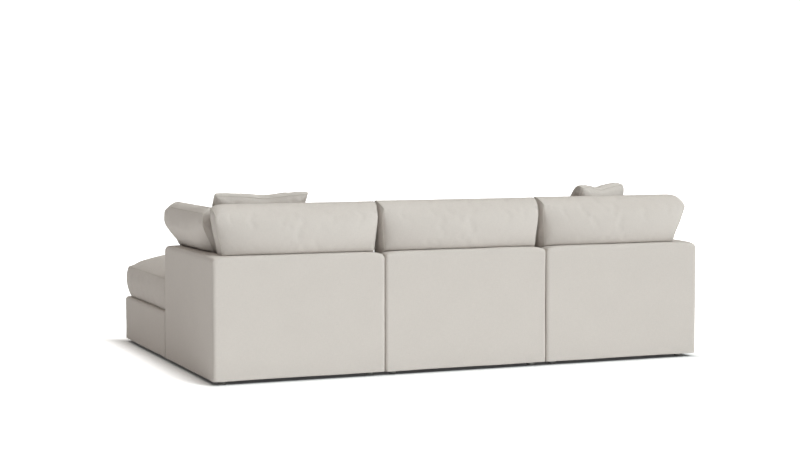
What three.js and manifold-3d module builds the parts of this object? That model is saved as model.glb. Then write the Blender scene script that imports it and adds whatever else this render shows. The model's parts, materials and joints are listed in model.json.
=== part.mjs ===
// Modular sectional sofa: a corner seat at each end, an armless seat between them, and a loose
// ottoman in front of the sitter's left corner seat that makes the chaise.
// Millimetres. +Z is up, +X points to the sitter's left, and the seats face -Y.
// The origin is on the floor, under the middle of the whole sofa.

import * as THREE from 'three';
import { mergeVertices } from 'three/addons/utils/BufferGeometryUtils.js';
import Module from 'manifold-3d';

const wasm = await Module();
wasm.setup();

// Plan of the sofa
const cornerWidth = 906;
const armlessWidth = 914;
const moduleDepth = 923;
const ottomanDepth = 900;
const moduleSeam = 0.6; // between the covers of two modules that stand side by side
const ottomanGap = 5;
const touch = 0.3; // gap between two pieces that rest on each other

// Heights above the floor
const glideHeight = 24;
const hemHeight = 20;
const deckHeight = 265;
const wallHeight = 624;
const wallCrown = 8;

// Upholstered cover: a shell of fabric and wadding, open underneath
const wallThickness = 105; // back and side walls, over the cover
const coverThickness = 10;
const coverEdgeRadius = 12;
const coverTopRadius = 23; // height of the round stretch along its top edges

// Wooden frames
const boardThickness = 20;
const baseRailHeight = 58;
const basePostWidth = 70;
const windowRadius = 18;
const cornerBlockLeg = 58;
const centreRailDrop = 30; // room for the webbing to sag
const wallRailHeight = 42;
const wallPostWidth = 44;
const basePosts = 4;
const wallPosts = 4;

// Webbing, deck pad and dust cover
const strapWidth = 70;
const strapThickness = 2;
const strapBite = 0.1; // how far crossing straps press into each other
const strapCount = 4;
const deckPadThickness = 16;
const dustCoverThickness = 2;

// Glides under the base
const glideTopRadius = 25;
const glideBottomRadius = 21;
const glideChamfer = 2;
const glideInset = 62;
const glideSides = 12;

// Steel connectors under the seams between modules
const tongueThickness = 3;
const tongueWidth = 32;
const tongueTipWidth = 20;
const tongueTaper = 14;
const tongueFlange = 60; // length screwed to the corner module
const tongueReach = 62; // how far the tongue goes under the armless module
const tongueDrop = 7.5; // from the flange down to the tongue
const tongueJoggle = 8; // length of the slope between them
const socketWall = 2.5;
const socketClearance = 1;
const socketLength = 66;
const socketFlange = 18;
const connectorInset = 210; // from the front and the rear of the module
const connectorEdge = 22; // from the seam to the plates

// Seat cushions and the ottoman cushion
const seatSeamHeight = 440; // upper seam above the floor
const seatCrown = 110; // from the upper seam to the top
const seatPressedCrown = 38; // the same, where other cushions stand on it
const seatDrawIn = 6;
const seatBulge = 14;
const seatMargin = 0.3; // from the fullest part of the cushion to the module's edge
const seatEar = 4;
const seatTuck = 12; // how far the lower seam lies inside the upper one
const seatFullnessShare = 0.58;
const seatPlateauShares = [0.5, 0.88]; // places of the extra rows across a pressed stretch

// Back cushions
const backSeamHeight = 876; // upper seam above the floor
const backTopBulge = 14;
const backRearSeam = 75; // rear seam, in front of the sofa's rear face
const backBoxing = 95;
const backRearSwell = 67;
const backFrontSwell = 118;
const backEndMargin = 3;
const backInnerTaper = 36; // how much shorter the cushion is at the seat, at an end by another module
const backFilledTaper = 10; // the same at the end that fills up the gap to the next cushion
const leftBackOuterTaper = 70; // the same at the end by the side cushion
const rightBackOuterTaper = 116;
const backPressedDepth = 205; // depth of the seat that the back cushion presses flat

// Side cushions of the corner seats
const sideSeamHeight = 849;
const sideTopBulge = 12;
const sideOuterSeam = 27; // outer seam, inside the sofa's side face
const sideBoxing = 64;
const sideOuterSwell = 32;
const sideInnerSwell = 100;
const sideWallPress = 58; // how far the top of the side wall presses the outer panel in
const sideRear = 160; // distances of its ends from the sofa's rear face
const sideFront = 935;
const sideEndTaper = 40;
const sidePressedLength = 280; // rear stretch that the throw pillow presses flat
const sidePressedWidth = 112; // width of the seat that the side cushion presses flat

// Shape of the back and side cushions. Their rear panels are fullest at the height share peak,
// from -1 to 1, and start to swell at the height share foot.
const cushionEar = 16; // how far the ends are drawn in at the top and bottom seams
const cushionTopEar = 9; // how far the top seam drops at its ends
const swellShare = 0.4;
const backPanelShares = { peak: 0.5, foot: -0.42, power: 0.7, along: 0.4 };
const sidePanelShares = { peak: 0.7, foot: 0.15, power: 1.2, along: 0.2 };
const wallPressShares = { peak: -0.45, reach: 0.75, power: 1.5 };
const liftClearance = 2;

// Throw pillows
const pillowSide = 490;
const pillowBoxing = 38;
const pillowSwell = 62;
const pillowDrawIn = 12;
const pillowBulge = 7;
const pillowEar = 9;
const pillowSwellShare = 0.4;
const pillowDent = 14; // dent in the middle of the top edge
const pillowDentShare = 0.34;
const pillowDentPlaceShare = -0.2;
const leftPillowPlace = { fromSide: 323, lean: 40.5, turn: 0 };
const rightPillowPlace = { fromSide: 540, lean: 40, turn: -36 };

// Colours, as they look in even light
const fabricColour = 0xcfc9c2;
const liningColour = 0x2b2b2d;
const woodColour = 0xc9a877;
const webbingColour = 0x8f8676;
const paddingColour = 0xe9e6df;
const plasticColour = 0x1d1d1f;
const steelColour = 0x8d9094;

// Sizes that follow from the ones above
const degree = Math.PI / 180;
const quarterTurn = Math.PI / 2;
const dustCoverBottom = glideHeight + touch;
const frameBottom = dustCoverBottom + dustCoverThickness + touch;
const webbingHeight = 2 * strapThickness - strapBite;
const deckPadBottom = deckHeight - coverThickness - touch - deckPadThickness;
const frameTop = deckPadBottom - 2 * touch - webbingHeight;
const wallInside = wallThickness - coverThickness; // inner face of the wall's cavity
const sofaWidth = 2 * cornerWidth + armlessWidth;
const sofaDepth = moduleDepth + ottomanGap + ottomanDepth;
const seatBase = deckHeight + touch;
const standingFoot = seatSeamHeight + seatPressedCrown + touch;

function material(color, roughness, metalness = 0) {
  return new THREE.MeshStandardMaterial({ color, roughness, metalness });
}

const materials = {
  fabric: () => material(fabricColour, 0.95),
  lining: () => material(liningColour, 0.9),
  wood: () => material(woodColour, 0.7),
  webbing: () => material(webbingColour, 0.9),
  padding: () => material(paddingColour, 1),
  plastic: () => material(plasticColour, 0.5),
  steel: () => material(steelColour, 0.4, 0.8),
};

// Turning geometry into solids that can be joined and cut, and back

function solidOf(geometry) {
  const plain = geometry.clone();
  plain.deleteAttribute('normal');
  plain.deleteAttribute('uv');
  const merged = mergeVertices(plain);
  return new wasm.Manifold(new wasm.Mesh({
    numProp: 3,
    vertProperties: new Float32Array(merged.attributes.position.array),
    triVerts: new Uint32Array(merged.index.array),
  }));
}

function geometryOf(solid) {
  const { vertProperties, triVerts } = solid.getMesh();
  const geometry = new THREE.BufferGeometry();
  geometry.setAttribute('position', new THREE.BufferAttribute(new Float32Array(vertProperties), 3));
  geometry.setIndex(new THREE.BufferAttribute(new Uint32Array(triVerts), 1));
  return geometry;
}

const union = (geometries) => geometries.map(solidOf).reduce((a, b) => a.add(b));

function mirroredGeometry(geometry) {
  const copy = geometry.clone().scale(-1, 1, 1);
  if (!copy.index) {
    copy.setIndex([...Array(copy.attributes.position.count).keys()]);
  }
  const index = copy.index.array;
  for (let i = 0; i < index.length; i += 3) {
    [index[i], index[i + 1]] = [index[i + 1], index[i]];
  }
  return copy;
}

// Boards and profiles

function box([x0, x1], [y0, y1], [z0, z1]) {
  const geometry = new THREE.BoxGeometry(x1 - x0, y1 - y0, z1 - z0);
  return geometry.translate((x0 + x1) / 2, (y0 + y1) / 2, (z0 + z1) / 2);
}

function outline(points) {
  return new THREE.Shape(points.map(([x, y]) => new THREE.Vector2(x, y)));
}

function extruded(shape, depth) {
  return new THREE.ExtrudeGeometry(shape, { depth, bevelEnabled: false, curveSegments: 1 });
}

function roundedWindow([x0, x1], [y0, y1], radius) {
  const path = new THREE.Path();
  path.moveTo(x0 + radius, y0);
  path.absarc(x1 - radius, y0 + radius, radius, -quarterTurn, 0, false);
  path.absarc(x1 - radius, y1 - radius, radius, 0, quarterTurn, false);
  path.absarc(x0 + radius, y1 - radius, radius, quarterTurn, 2 * quarterTurn, false);
  path.absarc(x0 + radius, y0 + radius, radius, 2 * quarterTurn, 3 * quarterTurn, false);
  return path;
}

// A board that stands along X, with round-cornered windows between its posts. Its rear face is in
// the XZ plane and its front face is one depth towards -Y.
function windowedBoard([x0, x1], [z0, z1], depth, { posts, post, rail }) {
  const shape = outline([[x0, z0], [x1, z0], [x1, z1], [x0, z1]]);
  const pitch = (x1 - x0 - post) / (posts - 1);
  for (let i = 0; i < posts - 1; i += 1) {
    const left = x0 + i * pitch;
    shape.holes.push(roundedWindow([left + post, left + pitch], [z0 + rail, z1 - rail], windowRadius));
  }
  return extruded(shape, depth).rotateX(quarterTurn);
}

// Upholstered blocks

const crownShares = [-0.93, -0.75, -0.3, 0.3, 0.75, 0.93];

function stationsAlong([low, high], radius, shares, roundLow) {
  const half = (high - low) / 2;
  const middle = (high + low) / 2;
  const step = radius * (1 - Math.tan(quarterTurn / 4));
  const first = roundLow ? [low, low + step, low + radius] : [low];
  const between = shares.map((share) => middle + share * (half - radius));
  return [...first, ...between, high - radius, high - step, high];
}

// A block with round upright edges and a round top edge, whose top swells by crown
function softBlock(xs, ys, zs, crown, xShares, yShares) {
  const radii = new THREE.Vector3(coverEdgeRadius, coverEdgeRadius, coverTopRadius);
  const stations = [
    stationsAlong(xs, radii.x, xShares, true),
    stationsAlong(ys, radii.y, yShares, true),
    stationsAlong(zs, radii.z, [], false),
  ];
  const cells = stations.map((list) => list.length - 1);
  const geometry = new THREE.BoxGeometry(1, 1, 1, ...cells);
  const low = new THREE.Vector3(xs[0] + radii.x, ys[0] + radii.y, zs[0]);
  const high = new THREE.Vector3(xs[1], ys[1], zs[1]).sub(radii);
  const position = geometry.attributes.position;
  for (let i = 0; i < position.count; i += 1) {
    const share = new THREE.Vector3().fromBufferAttribute(position, i).toArray();
    const [x, y, z] = share.map((value, axis) => stations[axis][Math.round((value + 0.5) * cells[axis])]);
    const point = new THREE.Vector3(x, y, z);
    const core = point.clone().clamp(low, high);
    const outward = point.clone().sub(core).divide(radii);
    point.copy(core).add(outward.normalize().multiply(radii));
    if (z >= high.z) {
      const u = (2 * x - xs[0] - xs[1]) / (xs[1] - xs[0]);
      const v = (2 * y - ys[0] - ys[1]) / (ys[1] - ys[0]);
      point.z += crown * (1 - u ** 6) * (1 - v ** 6);
    }
    position.setXYZ(i, point.x, point.y, point.z);
  }
  return geometry;
}

// Cushions

// Shares from -1 to 1 that lie closer together towards the seams
function seamShares(count) {
  return Array.from({ length: count + 1 }, (_, i) => Math.sin(quarterTurn * ((2 * i) / count - 1)));
}

// How full a panel is at a share between its seams
const fullness = (share, power) => Math.max(0, 1 - share * share) ** power;

// The share across the free part of a panel, where the part beyond edge is pressed flat
function freeShare(share, edge) {
  return share >= edge ? 1 : (2 * (share + 1)) / (edge + 1) - 1;
}

const onRim = (share) => (Math.abs(share) > 0.999 ? Math.sign(share) : 0);

// Plan of a box cushion, drawn in along its sides, with round ears. Its strip bulges between the
// lower seam, where t is 0, and the upper seam, where t is 1.
function planPoint(u, v, t, { halfWidth, halfLength, drawIn, bulge, ear }) {
  const swell = bulge * Math.sin(Math.PI * t);
  const x = u * (halfWidth - drawIn * (1 - v * v) - ear * v ** 8) + swell * onRim(u);
  const y = v * (halfLength - drawIn * (1 - u * u) - ear * u ** 8) + swell * onRim(v);
  return [x, y];
}

// A closed cushion: a lower and an upper panel joined by a boxing strip. at(u, v, t) is a point
// of the strip or, with t at 0 or 1, of a panel before it swells.
function boxCushion({ at, lowerSwell, upperSwell, uShares, vShares, bands }) {
  const columns = uShares.length;
  const rows = vShares.length;
  const points = [];
  const triangles = [];
  const addPanel = (t, swell) => {
    const first = points.length;
    for (const v of vShares) {
      for (const u of uShares) {
        const point = at(u, v, t);
        point.z += swell(u, v);
        points.push(point);
      }
    }
    return (column, row) => first + row * columns + column;
  };
  const lower = addPanel(0, (u, v) => -lowerSwell(u, v));
  const upper = addPanel(1, upperSwell);
  for (let row = 0; row < rows - 1; row += 1) {
    for (let column = 0; column < columns - 1; column += 1) {
      const corners = (panel) => [
        panel(column, row), panel(column + 1, row), panel(column + 1, row + 1), panel(column, row + 1),
      ];
      const [a, b, c, d] = corners(upper);
      triangles.push(a, b, c, a, c, d);
      const [e, f, g, h] = corners(lower);
      triangles.push(e, g, f, e, h, g);
    }
  }
  const rim = [];
  for (let column = 0; column < columns - 1; column += 1) rim.push([column, 0]);
  for (let row = 0; row < rows - 1; row += 1) rim.push([columns - 1, row]);
  for (let column = columns - 1; column > 0; column -= 1) rim.push([column, rows - 1]);
  for (let row = rows - 1; row > 0; row -= 1) rim.push([0, row]);
  const rings = [rim.map(([column, row]) => lower(column, row))];
  for (let band = 1; band < bands; band += 1) {
    rings.push(rim.map(([column, row]) => (
      points.push(at(uShares[column], vShares[row], band / bands)) - 1
    )));
  }
  rings.push(rim.map(([column, row]) => upper(column, row)));
  for (let band = 0; band < bands; band += 1) {
    for (let i = 0; i < rim.length; i += 1) {
      const next = (i + 1) % rim.length;
      const [a, b] = [rings[band][i], rings[band][next]];
      const [c, d] = [rings[band + 1][next], rings[band + 1][i]];
      triangles.push(a, b, c, a, c, d);
    }
  }
  const geometry = new THREE.BufferGeometry().setFromPoints(points);
  geometry.setIndex(triangles);
  return geometry;
}

// A seat cushion between xs and ys. Other cushions press its crown down over the depth pressedRear
// at its rear and over the width pressedSide at its +X side.
function seatCushion(xs, ys, { pressedRear = 0, pressedSide = 0 } = {}) {
  const place = {
    halfWidth: (xs[1] - xs[0]) / 2 - seatBulge,
    halfLength: (ys[1] - ys[0]) / 2 - seatBulge,
    drawIn: seatDrawIn,
    bulge: seatBulge,
    ear: seatEar,
  };
  const height = seatSeamHeight - seatBase;
  const sideEdge = 1 - pressedSide / place.halfWidth;
  const rearEdge = 1 - pressedRear / place.halfLength;
  const crossShares = (edge) => {
    const free = seamShares(8).map((share) => ((share + 1) * (edge + 1)) / 2 - 1);
    const plateau = seatPlateauShares.map((share) => edge + share * (1 - edge));
    return edge < 1 ? [...free, ...plateau, 1] : free;
  };
  const crown = (u, v, rise) => rise * fullness(u, seatFullnessShare) * fullness(v, seatFullnessShare);
  const geometry = boxCushion({
    at: (u, v, t) => {
      const [x, y] = planPoint(u, v, t, place);
      const tuck = seatTuck * (1 - t) ** 2;
      return new THREE.Vector3(x - tuck * u, y - tuck * v, height * t);
    },
    lowerSwell: () => 0,
    upperSwell: (u, v) => Math.min(
      crown(u, v, seatCrown),
      seatPressedCrown
        + crown(freeShare(u, sideEdge), freeShare(v, rearEdge), seatCrown - seatPressedCrown),
    ),
    uShares: crossShares(sideEdge),
    vShares: crossShares(rearEdge),
    bands: 3,
  });
  return geometry.translate((xs[0] + xs[1]) / 2, (ys[0] + ys[1]) / 2, seatBase);
}

// How full the rear panel of a standing cushion is at the height share v
function rearFullness(v, { peak, foot, power }) {
  const reach = v > peak ? 1 - peak : peak - foot;
  return fullness(Math.min(1, Math.abs(v - peak) / reach), power);
}

// How far the top of a wall presses the rear panel in at the height share v, as a share
function pressFullness(v) {
  const { peak, reach, power } = wallPressShares;
  return fullness(Math.min(1, Math.abs(v - peak) / reach), power);
}

// A cushion that stands on a seat. Its rear panel faces +Y, with the rear seam in the XZ plane.
// It is shorter at the seat by endTapers, at its -X and +X ends, and its front panel is pressed
// flat over the length pressed at its -X end.
function standingCushion({
  length, seam, topBulge, boxing, rearSwell, frontSwell, endTapers, panelShares, wallPress = 0, pressed = 0,
}) {
  const halfLength = length / 2;
  const halfHeight = (seam - standingFoot) / 2;
  const edge = 1 - pressed / halfLength;
  const geometry = boxCushion({
    at: (u, v, t) => {
      const swell = topBulge * Math.sin(Math.PI * t);
      const endTaper = u < 0 ? endTapers[0] : endTapers[1];
      const taper = (endTaper * (1 - v)) / 2 + cushionEar * Math.abs(v) ** 8;
      const drop = v > 0 ? cushionTopEar * u ** 12 : 0;
      const rise = onRim(v) > 0 ? swell : 0;
      const x = u * (halfLength - topBulge - taper) + swell * onRim(u);
      const z = boxing * t + wallPress * pressFullness(v) * (1 - t);
      return new THREE.Vector3(x, halfHeight * (1 + v) - drop + rise, z);
    },
    lowerSwell: (u, v) => rearSwell * fullness(u, panelShares.along) * rearFullness(v, panelShares),
    upperSwell: (u, v) => frontSwell
      * fullness(freeShare(-u, edge), swellShare)
      * fullness(v, swellShare),
    uShares: seamShares(10),
    vShares: seamShares(10),
    bands: 2,
  });
  return geometry.rotateX(quarterTurn).translate(0, 0, standingFoot);
}

// The space that a standing cushion without taper sweeps when it is lifted
const columnStretch = 8;

function liftColumn(plainCushion) {
  const middle = (standingFoot + backSeamHeight) / 2;
  const column = plainCushion.translate(0, 0, -middle);
  return solidOf(column.scale(1, 1, columnStretch).translate(0, 0, middle));
}

// A square throw pillow that stands on its lower edge, with its back towards +Y
function throwPillow() {
  const place = {
    halfWidth: pillowSide / 2,
    halfLength: pillowSide / 2,
    drawIn: pillowDrawIn,
    bulge: pillowBulge,
    ear: pillowEar,
  };
  const swell = (u, v) => pillowSwell * fullness(u, pillowSwellShare) * fullness(v, pillowSwellShare);
  const geometry = boxCushion({
    at: (u, v, t) => {
      const [x, y] = planPoint(u, v, t, place);
      const across = (u - pillowDentPlaceShare) / pillowDentShare;
      const dent = pillowDent * Math.exp(-across * across) * ((1 + v) / 2) ** 2;
      return new THREE.Vector3(x, y - dent, pillowBoxing * (t - 1 / 2));
    },
    lowerSwell: swell,
    upperSwell: swell,
    uShares: seamShares(8),
    vShares: seamShares(8),
    bands: 2,
  });
  return geometry.rotateX(quarterTurn).translate(0, 0, pillowSide / 2);
}

// Moves a solid along a direction from where the obstacle blocks it to where it just clears it
const settleSteps = 16;

function settled(solid, obstacle, direction, reach) {
  const moved = (distance) => solid.translate(direction.map((value) => value * distance));
  let blocked = 0;
  let clear = reach;
  for (let i = 0; i < settleSteps; i += 1) {
    const middle = (blocked + clear) / 2;
    if (moved(middle).intersect(obstacle).isEmpty()) {
      clear = middle;
    } else {
      blocked = middle;
    }
  }
  return moved(clear + touch);
}

// Pieces of one module. Each module has its own frame: x across its width from its middle, y
// from its rear face as negative values and z from the floor. A side wall stands on +X.

function coverSolid({ half, depth, backWall, sideWall }) {
  const blocks = [];
  const cavities = [];
  const addBlock = (xs, ys, top, crown, xShares, yShares) => {
    const inside = ([low, high]) => [low + coverThickness, high - coverThickness];
    blocks.push(softBlock(xs, ys, [hemHeight, top], crown, xShares, yShares));
    cavities.push(box(inside(xs), inside(ys), [hemHeight - coverThickness, top - coverThickness]));
  };
  addBlock([-half, half], [-depth, 0], deckHeight, 0, [], []);
  if (backWall) {
    addBlock([-half, half], [-wallThickness, 0], wallHeight, wallCrown, crownShares, []);
  }
  if (sideWall) {
    addBlock([half - wallThickness, half], [-depth, 0], wallHeight, wallCrown, [], crownShares);
  }
  return { outer: union(blocks), shell: union(blocks).subtract(union(cavities)) };
}

function baseFrame({ half, depth, backWall, sideWall }) {
  const x = half - coverThickness - touch;
  const front = -depth + coverThickness + touch;
  const rear = -coverThickness - touch;
  const heights = [frameBottom, frameTop];
  const railHeights = [frameTop - baseRailHeight, frameTop];
  const rails = { posts: basePosts, post: basePostWidth, rail: baseRailHeight };
  const longBoard = (y) => windowedBoard([-x, x], heights, boardThickness, rails).translate(0, y, 0);
  const sideBoard = (right) => (
    windowedBoard([front, rear], heights, boardThickness, rails).rotateZ(quarterTurn).translate(right, 0, 0)
  );
  const embed = boardThickness / 2;
  const pieces = [
    longBoard(front + boardThickness),
    longBoard(rear),
    sideBoard(-x),
    sideBoard(x - boardThickness),
    box([-embed, embed], [front + embed, rear - embed], [frameBottom, frameTop - centreRailDrop]),
  ];
  if (backWall) {
    pieces.push(box([-x + embed, x - embed], [-wallInside - boardThickness, -wallInside], railHeights));
  }
  if (sideWall) {
    const railX = half - wallInside;
    pieces.push(box([railX - boardThickness, railX], [front + embed, rear - embed], railHeights));
  }
  for (const side of [-1, 1]) {
    for (const [y, towards] of [[front + embed, 1], [rear - embed, -1]]) {
      const cornerX = side * (x - embed);
      const block = outline([
        [cornerX, y], [cornerX - side * cornerBlockLeg, y], [cornerX, y + towards * cornerBlockLeg],
      ]);
      pieces.push(extruded(block, frameTop - frameBottom).translate(0, 0, frameBottom));
    }
  }
  return geometryOf(union(pieces));
}

const wallHeights = [frameTop + touch, wallHeight - coverThickness - touch];
const wallBoardDepth = wallThickness - 2 * (coverThickness + touch);

function backFrame({ half }) {
  const x = half - coverThickness - touch;
  const rails = { posts: wallPosts, post: wallPostWidth, rail: wallRailHeight };
  const board = windowedBoard([-x, x], wallHeights, wallBoardDepth, rails);
  return board.translate(0, -coverThickness - touch, 0);
}

function sideFrame({ half, depth }) {
  const rails = { posts: wallPosts, post: wallPostWidth, rail: wallRailHeight };
  const ends = [-depth + coverThickness + touch, -wallInside];
  const board = windowedBoard(ends, wallHeights, wallBoardDepth, rails);
  return board.rotateZ(quarterTurn).translate(half - wallInside + touch, 0, 0);
}

// Inner edges of the space between the walls, where the webbing and the deck pad lie
function deckSpan({ half, depth, backWall, sideWall }) {
  const edge = coverThickness + touch;
  return {
    xs: [-half + edge, sideWall ? half - wallInside : half - edge],
    ys: [-depth + edge, backWall ? -wallInside : -edge],
  };
}

// One strap of the web, in the XZ plane. It lies over or under each strap that crosses it.
function strapProfile([start, end], crossings, isOver) {
  const rise = strapThickness - strapBite;
  const heightAt = (i) => (isOver(i) ? rise : 0);
  const last = crossings.length - 1;
  const lowerEdge = [[start, heightAt(0)]];
  for (let i = 1; i <= last; i += 1) {
    lowerEdge.push([crossings[i - 1] + strapWidth / 2, heightAt(i - 1)]);
    lowerEdge.push([crossings[i] - strapWidth / 2, heightAt(i)]);
  }
  lowerEdge.push([end, heightAt(last)]);
  const upperEdge = lowerEdge.map(([x, z]) => [x, z + strapThickness]).reverse();
  return outline([...lowerEdge, ...upperEdge]);
}

function webbing(module) {
  const { xs, ys } = deckSpan(module);
  const places = ([low, high]) => Array.from(
    { length: strapCount },
    (_, i) => low + ((high - low) * (i + 1 / 2)) / strapCount,
  );
  const [placesX, placesY] = [places(xs), places(ys)];
  const straps = [];
  placesY.forEach((y, row) => {
    const profile = strapProfile(xs, placesX, (column) => (row + column) % 2 === 1);
    straps.push(extruded(profile, strapWidth).rotateX(quarterTurn).translate(0, y + strapWidth / 2, 0));
  });
  placesX.forEach((x, column) => {
    const profile = strapProfile(ys, placesY, (row) => (row + column) % 2 === 0);
    const strap = extruded(profile, strapWidth).rotateX(quarterTurn).rotateZ(quarterTurn);
    straps.push(strap.translate(x - strapWidth / 2, 0, 0));
  });
  return geometryOf(union(straps)).translate(0, 0, frameTop + touch);
}

function deckPad(module) {
  const { xs, ys } = deckSpan(module);
  return box(xs, ys, [deckPadBottom, deckPadBottom + deckPadThickness]);
}

function dustCover({ half, depth }) {
  const edge = coverThickness + touch;
  const heights = [dustCoverBottom, dustCoverBottom + dustCoverThickness];
  return box([-half + edge, half - edge], [-depth + edge, -edge], heights);
}

function glide() {
  const profile = [
    [0, 0],
    [glideBottomRadius - glideChamfer, 0],
    [glideBottomRadius, glideChamfer],
    [glideTopRadius, glideHeight],
    [0, glideHeight],
  ];
  const points = profile.map(([radius, height]) => new THREE.Vector2(radius, height));
  return new THREE.LatheGeometry(points, glideSides).rotateX(quarterTurn);
}

// Connector tongue: a flange under the corner module, a joggle, and a tapered tongue that points
// to -X. Its x is measured from the seam.
function connectorTongue() {
  const top = glideHeight;
  const low = top - tongueDrop;
  const kneeX = connectorEdge - tongueJoggle;
  const edge = [[connectorEdge + tongueFlange, top], [connectorEdge, top], [kneeX, low], [-tongueReach, low]];
  const under = edge.map(([x, z]) => [x, z - tongueThickness]).reverse();
  const strip = extruded(outline([...edge, ...under]), tongueWidth).rotateX(quarterTurn);
  const halfWidth = tongueWidth / 2;
  const plan = outline([
    [connectorEdge + tongueFlange, -halfWidth],
    [connectorEdge + tongueFlange, halfWidth],
    [tongueTaper - tongueReach, halfWidth],
    [-tongueReach, tongueTipWidth / 2],
    [-tongueReach, -tongueTipWidth / 2],
    [tongueTaper - tongueReach, -halfWidth],
  ]);
  const column = solidOf(extruded(plan, glideHeight));
  return geometryOf(solidOf(strip.translate(0, halfWidth, 0)).intersect(column));
}

// Connector socket: a flanged sleeve under the armless module, along X
function connectorSocket() {
  const slotHalf = tongueWidth / 2 + socketClearance;
  const slotTop = glideHeight - tongueDrop + socketClearance;
  const slotBottom = slotTop - tongueThickness - 2 * socketClearance;
  const wallHalf = slotHalf + socketWall;
  const flangeHalf = wallHalf + socketFlange;
  const profile = outline([
    [-flangeHalf, glideHeight],
    [-flangeHalf, glideHeight - socketWall],
    [-wallHalf, glideHeight - socketWall],
    [-wallHalf, slotBottom - socketWall],
    [wallHalf, slotBottom - socketWall],
    [wallHalf, glideHeight - socketWall],
    [flangeHalf, glideHeight - socketWall],
    [flangeHalf, glideHeight],
    [slotHalf, glideHeight],
    [slotHalf, slotTop + socketWall],
    [-slotHalf, slotTop + socketWall],
    [-slotHalf, glideHeight],
  ]);
  profile.holes.push(outline([
    [-slotHalf, slotBottom], [slotHalf, slotBottom], [slotHalf, slotTop], [-slotHalf, slotTop],
  ]));
  return extruded(profile, socketLength).rotateX(quarterTurn).rotateZ(quarterTurn);
}

// Building the modules

// Gathers the pieces of one module as named meshes, mirrored for the sitter's right corner
class ModuleBuilder {
  constructor(name, position, isMirrored = false) {
    this.name = name;
    this.isMirrored = isMirrored;
    this.group = new THREE.Group();
    this.group.position.set(...position);
  }

  add(piece, geometry, look) {
    const placed = this.isMirrored ? mirroredGeometry(geometry) : geometry;
    placed.computeVertexNormals();
    const mesh = new THREE.Mesh(placed, look());
    mesh.name = `${this.name}_${piece}`;
    this.group.add(mesh);
  }

  addBase(module) {
    const { half, depth } = module;
    this.add('base_frame', baseFrame(module), materials.wood);
    this.add('webbing', webbing(module), materials.webbing);
    this.add('deck_pad', deckPad(module), materials.padding);
    this.add('dust_cover', dustCover(module), materials.lining);
    if (module.backWall) {
      this.add('back_frame', backFrame(module), materials.wood);
    }
    if (module.sideWall) {
      this.add('side_frame', sideFrame(module), materials.wood);
    }
    const glideX = half - glideInset;
    const glideYs = [-glideInset, glideInset - depth];
    const places = glideYs.flatMap((y) => [[glideX, y], [-glideX, y]]);
    places.forEach(([x, y], i) => {
      this.add(`glide_${i + 1}`, glide().translate(x, y, 0), materials.plastic);
    });
  }
}

const connectorYs = [['rear', -connectorInset], ['front', connectorInset - moduleDepth]];

const untapered = [0, 0];

function backCushionGeometry({ half, backTapers }, endTapers = backTapers) {
  return standingCushion({
    length: 2 * (half - backEndMargin),
    seam: backSeamHeight,
    topBulge: backTopBulge,
    boxing: backBoxing,
    rearSwell: backRearSwell,
    frontSwell: backFrontSwell,
    endTapers,
    panelShares: backPanelShares,
  }).translate(0, -backRearSeam, 0);
}

function sideCushionGeometry({ half }, endTapers = [sideEndTaper, sideEndTaper]) {
  return standingCushion({
    length: sideFront - sideRear,
    seam: sideSeamHeight,
    topBulge: sideTopBulge,
    boxing: sideBoxing,
    rearSwell: sideOuterSwell,
    frontSwell: sideInnerSwell,
    endTapers,
    panelShares: sidePanelShares,
    wallPress: sideWallPress,
    pressed: sidePressedLength,
  }).rotateZ(-quarterTurn).translate(half - sideOuterSeam, -(sideRear + sideFront) / 2, 0);
}

// Clears a cushion of the walls that it leans on, by the gap of pieces that touch
function clearedOfWalls(cushion, cover) {
  const shifts = [[0, -touch, touch], [-touch, 0, touch]];
  return shifts.reduce((solid, shift) => solid.subtract(cover.translate(shift)), cushion);
}

// Stands a throw pillow on the seat, leans it against the back cushion and lets it settle
function restingPillow({ half }, { fromSide, lean, turn }, seat, backCushion) {
  const forward = [0, -1, 0];
  const up = [0, 0, 1];
  const upright = throwPillow().rotateX(-lean * degree).rotateZ(turn * degree);
  const start = solidOf(upright.translate(half - fromSide, -wallThickness, deckHeight));
  const ahead = settled(start, backCushion, forward, moduleDepth);
  const standing = settled(ahead, seat, up, wallHeight).translate([0, wallThickness, 0]);
  const leaning = settled(standing, backCushion, forward, moduleDepth).translate([0, 0, -seatCrown]);
  const resting = settled(leaning, seat, up, wallHeight);
  return settled(resting, seat.add(backCushion), [0, -1, 1], wallThickness);
}

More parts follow.
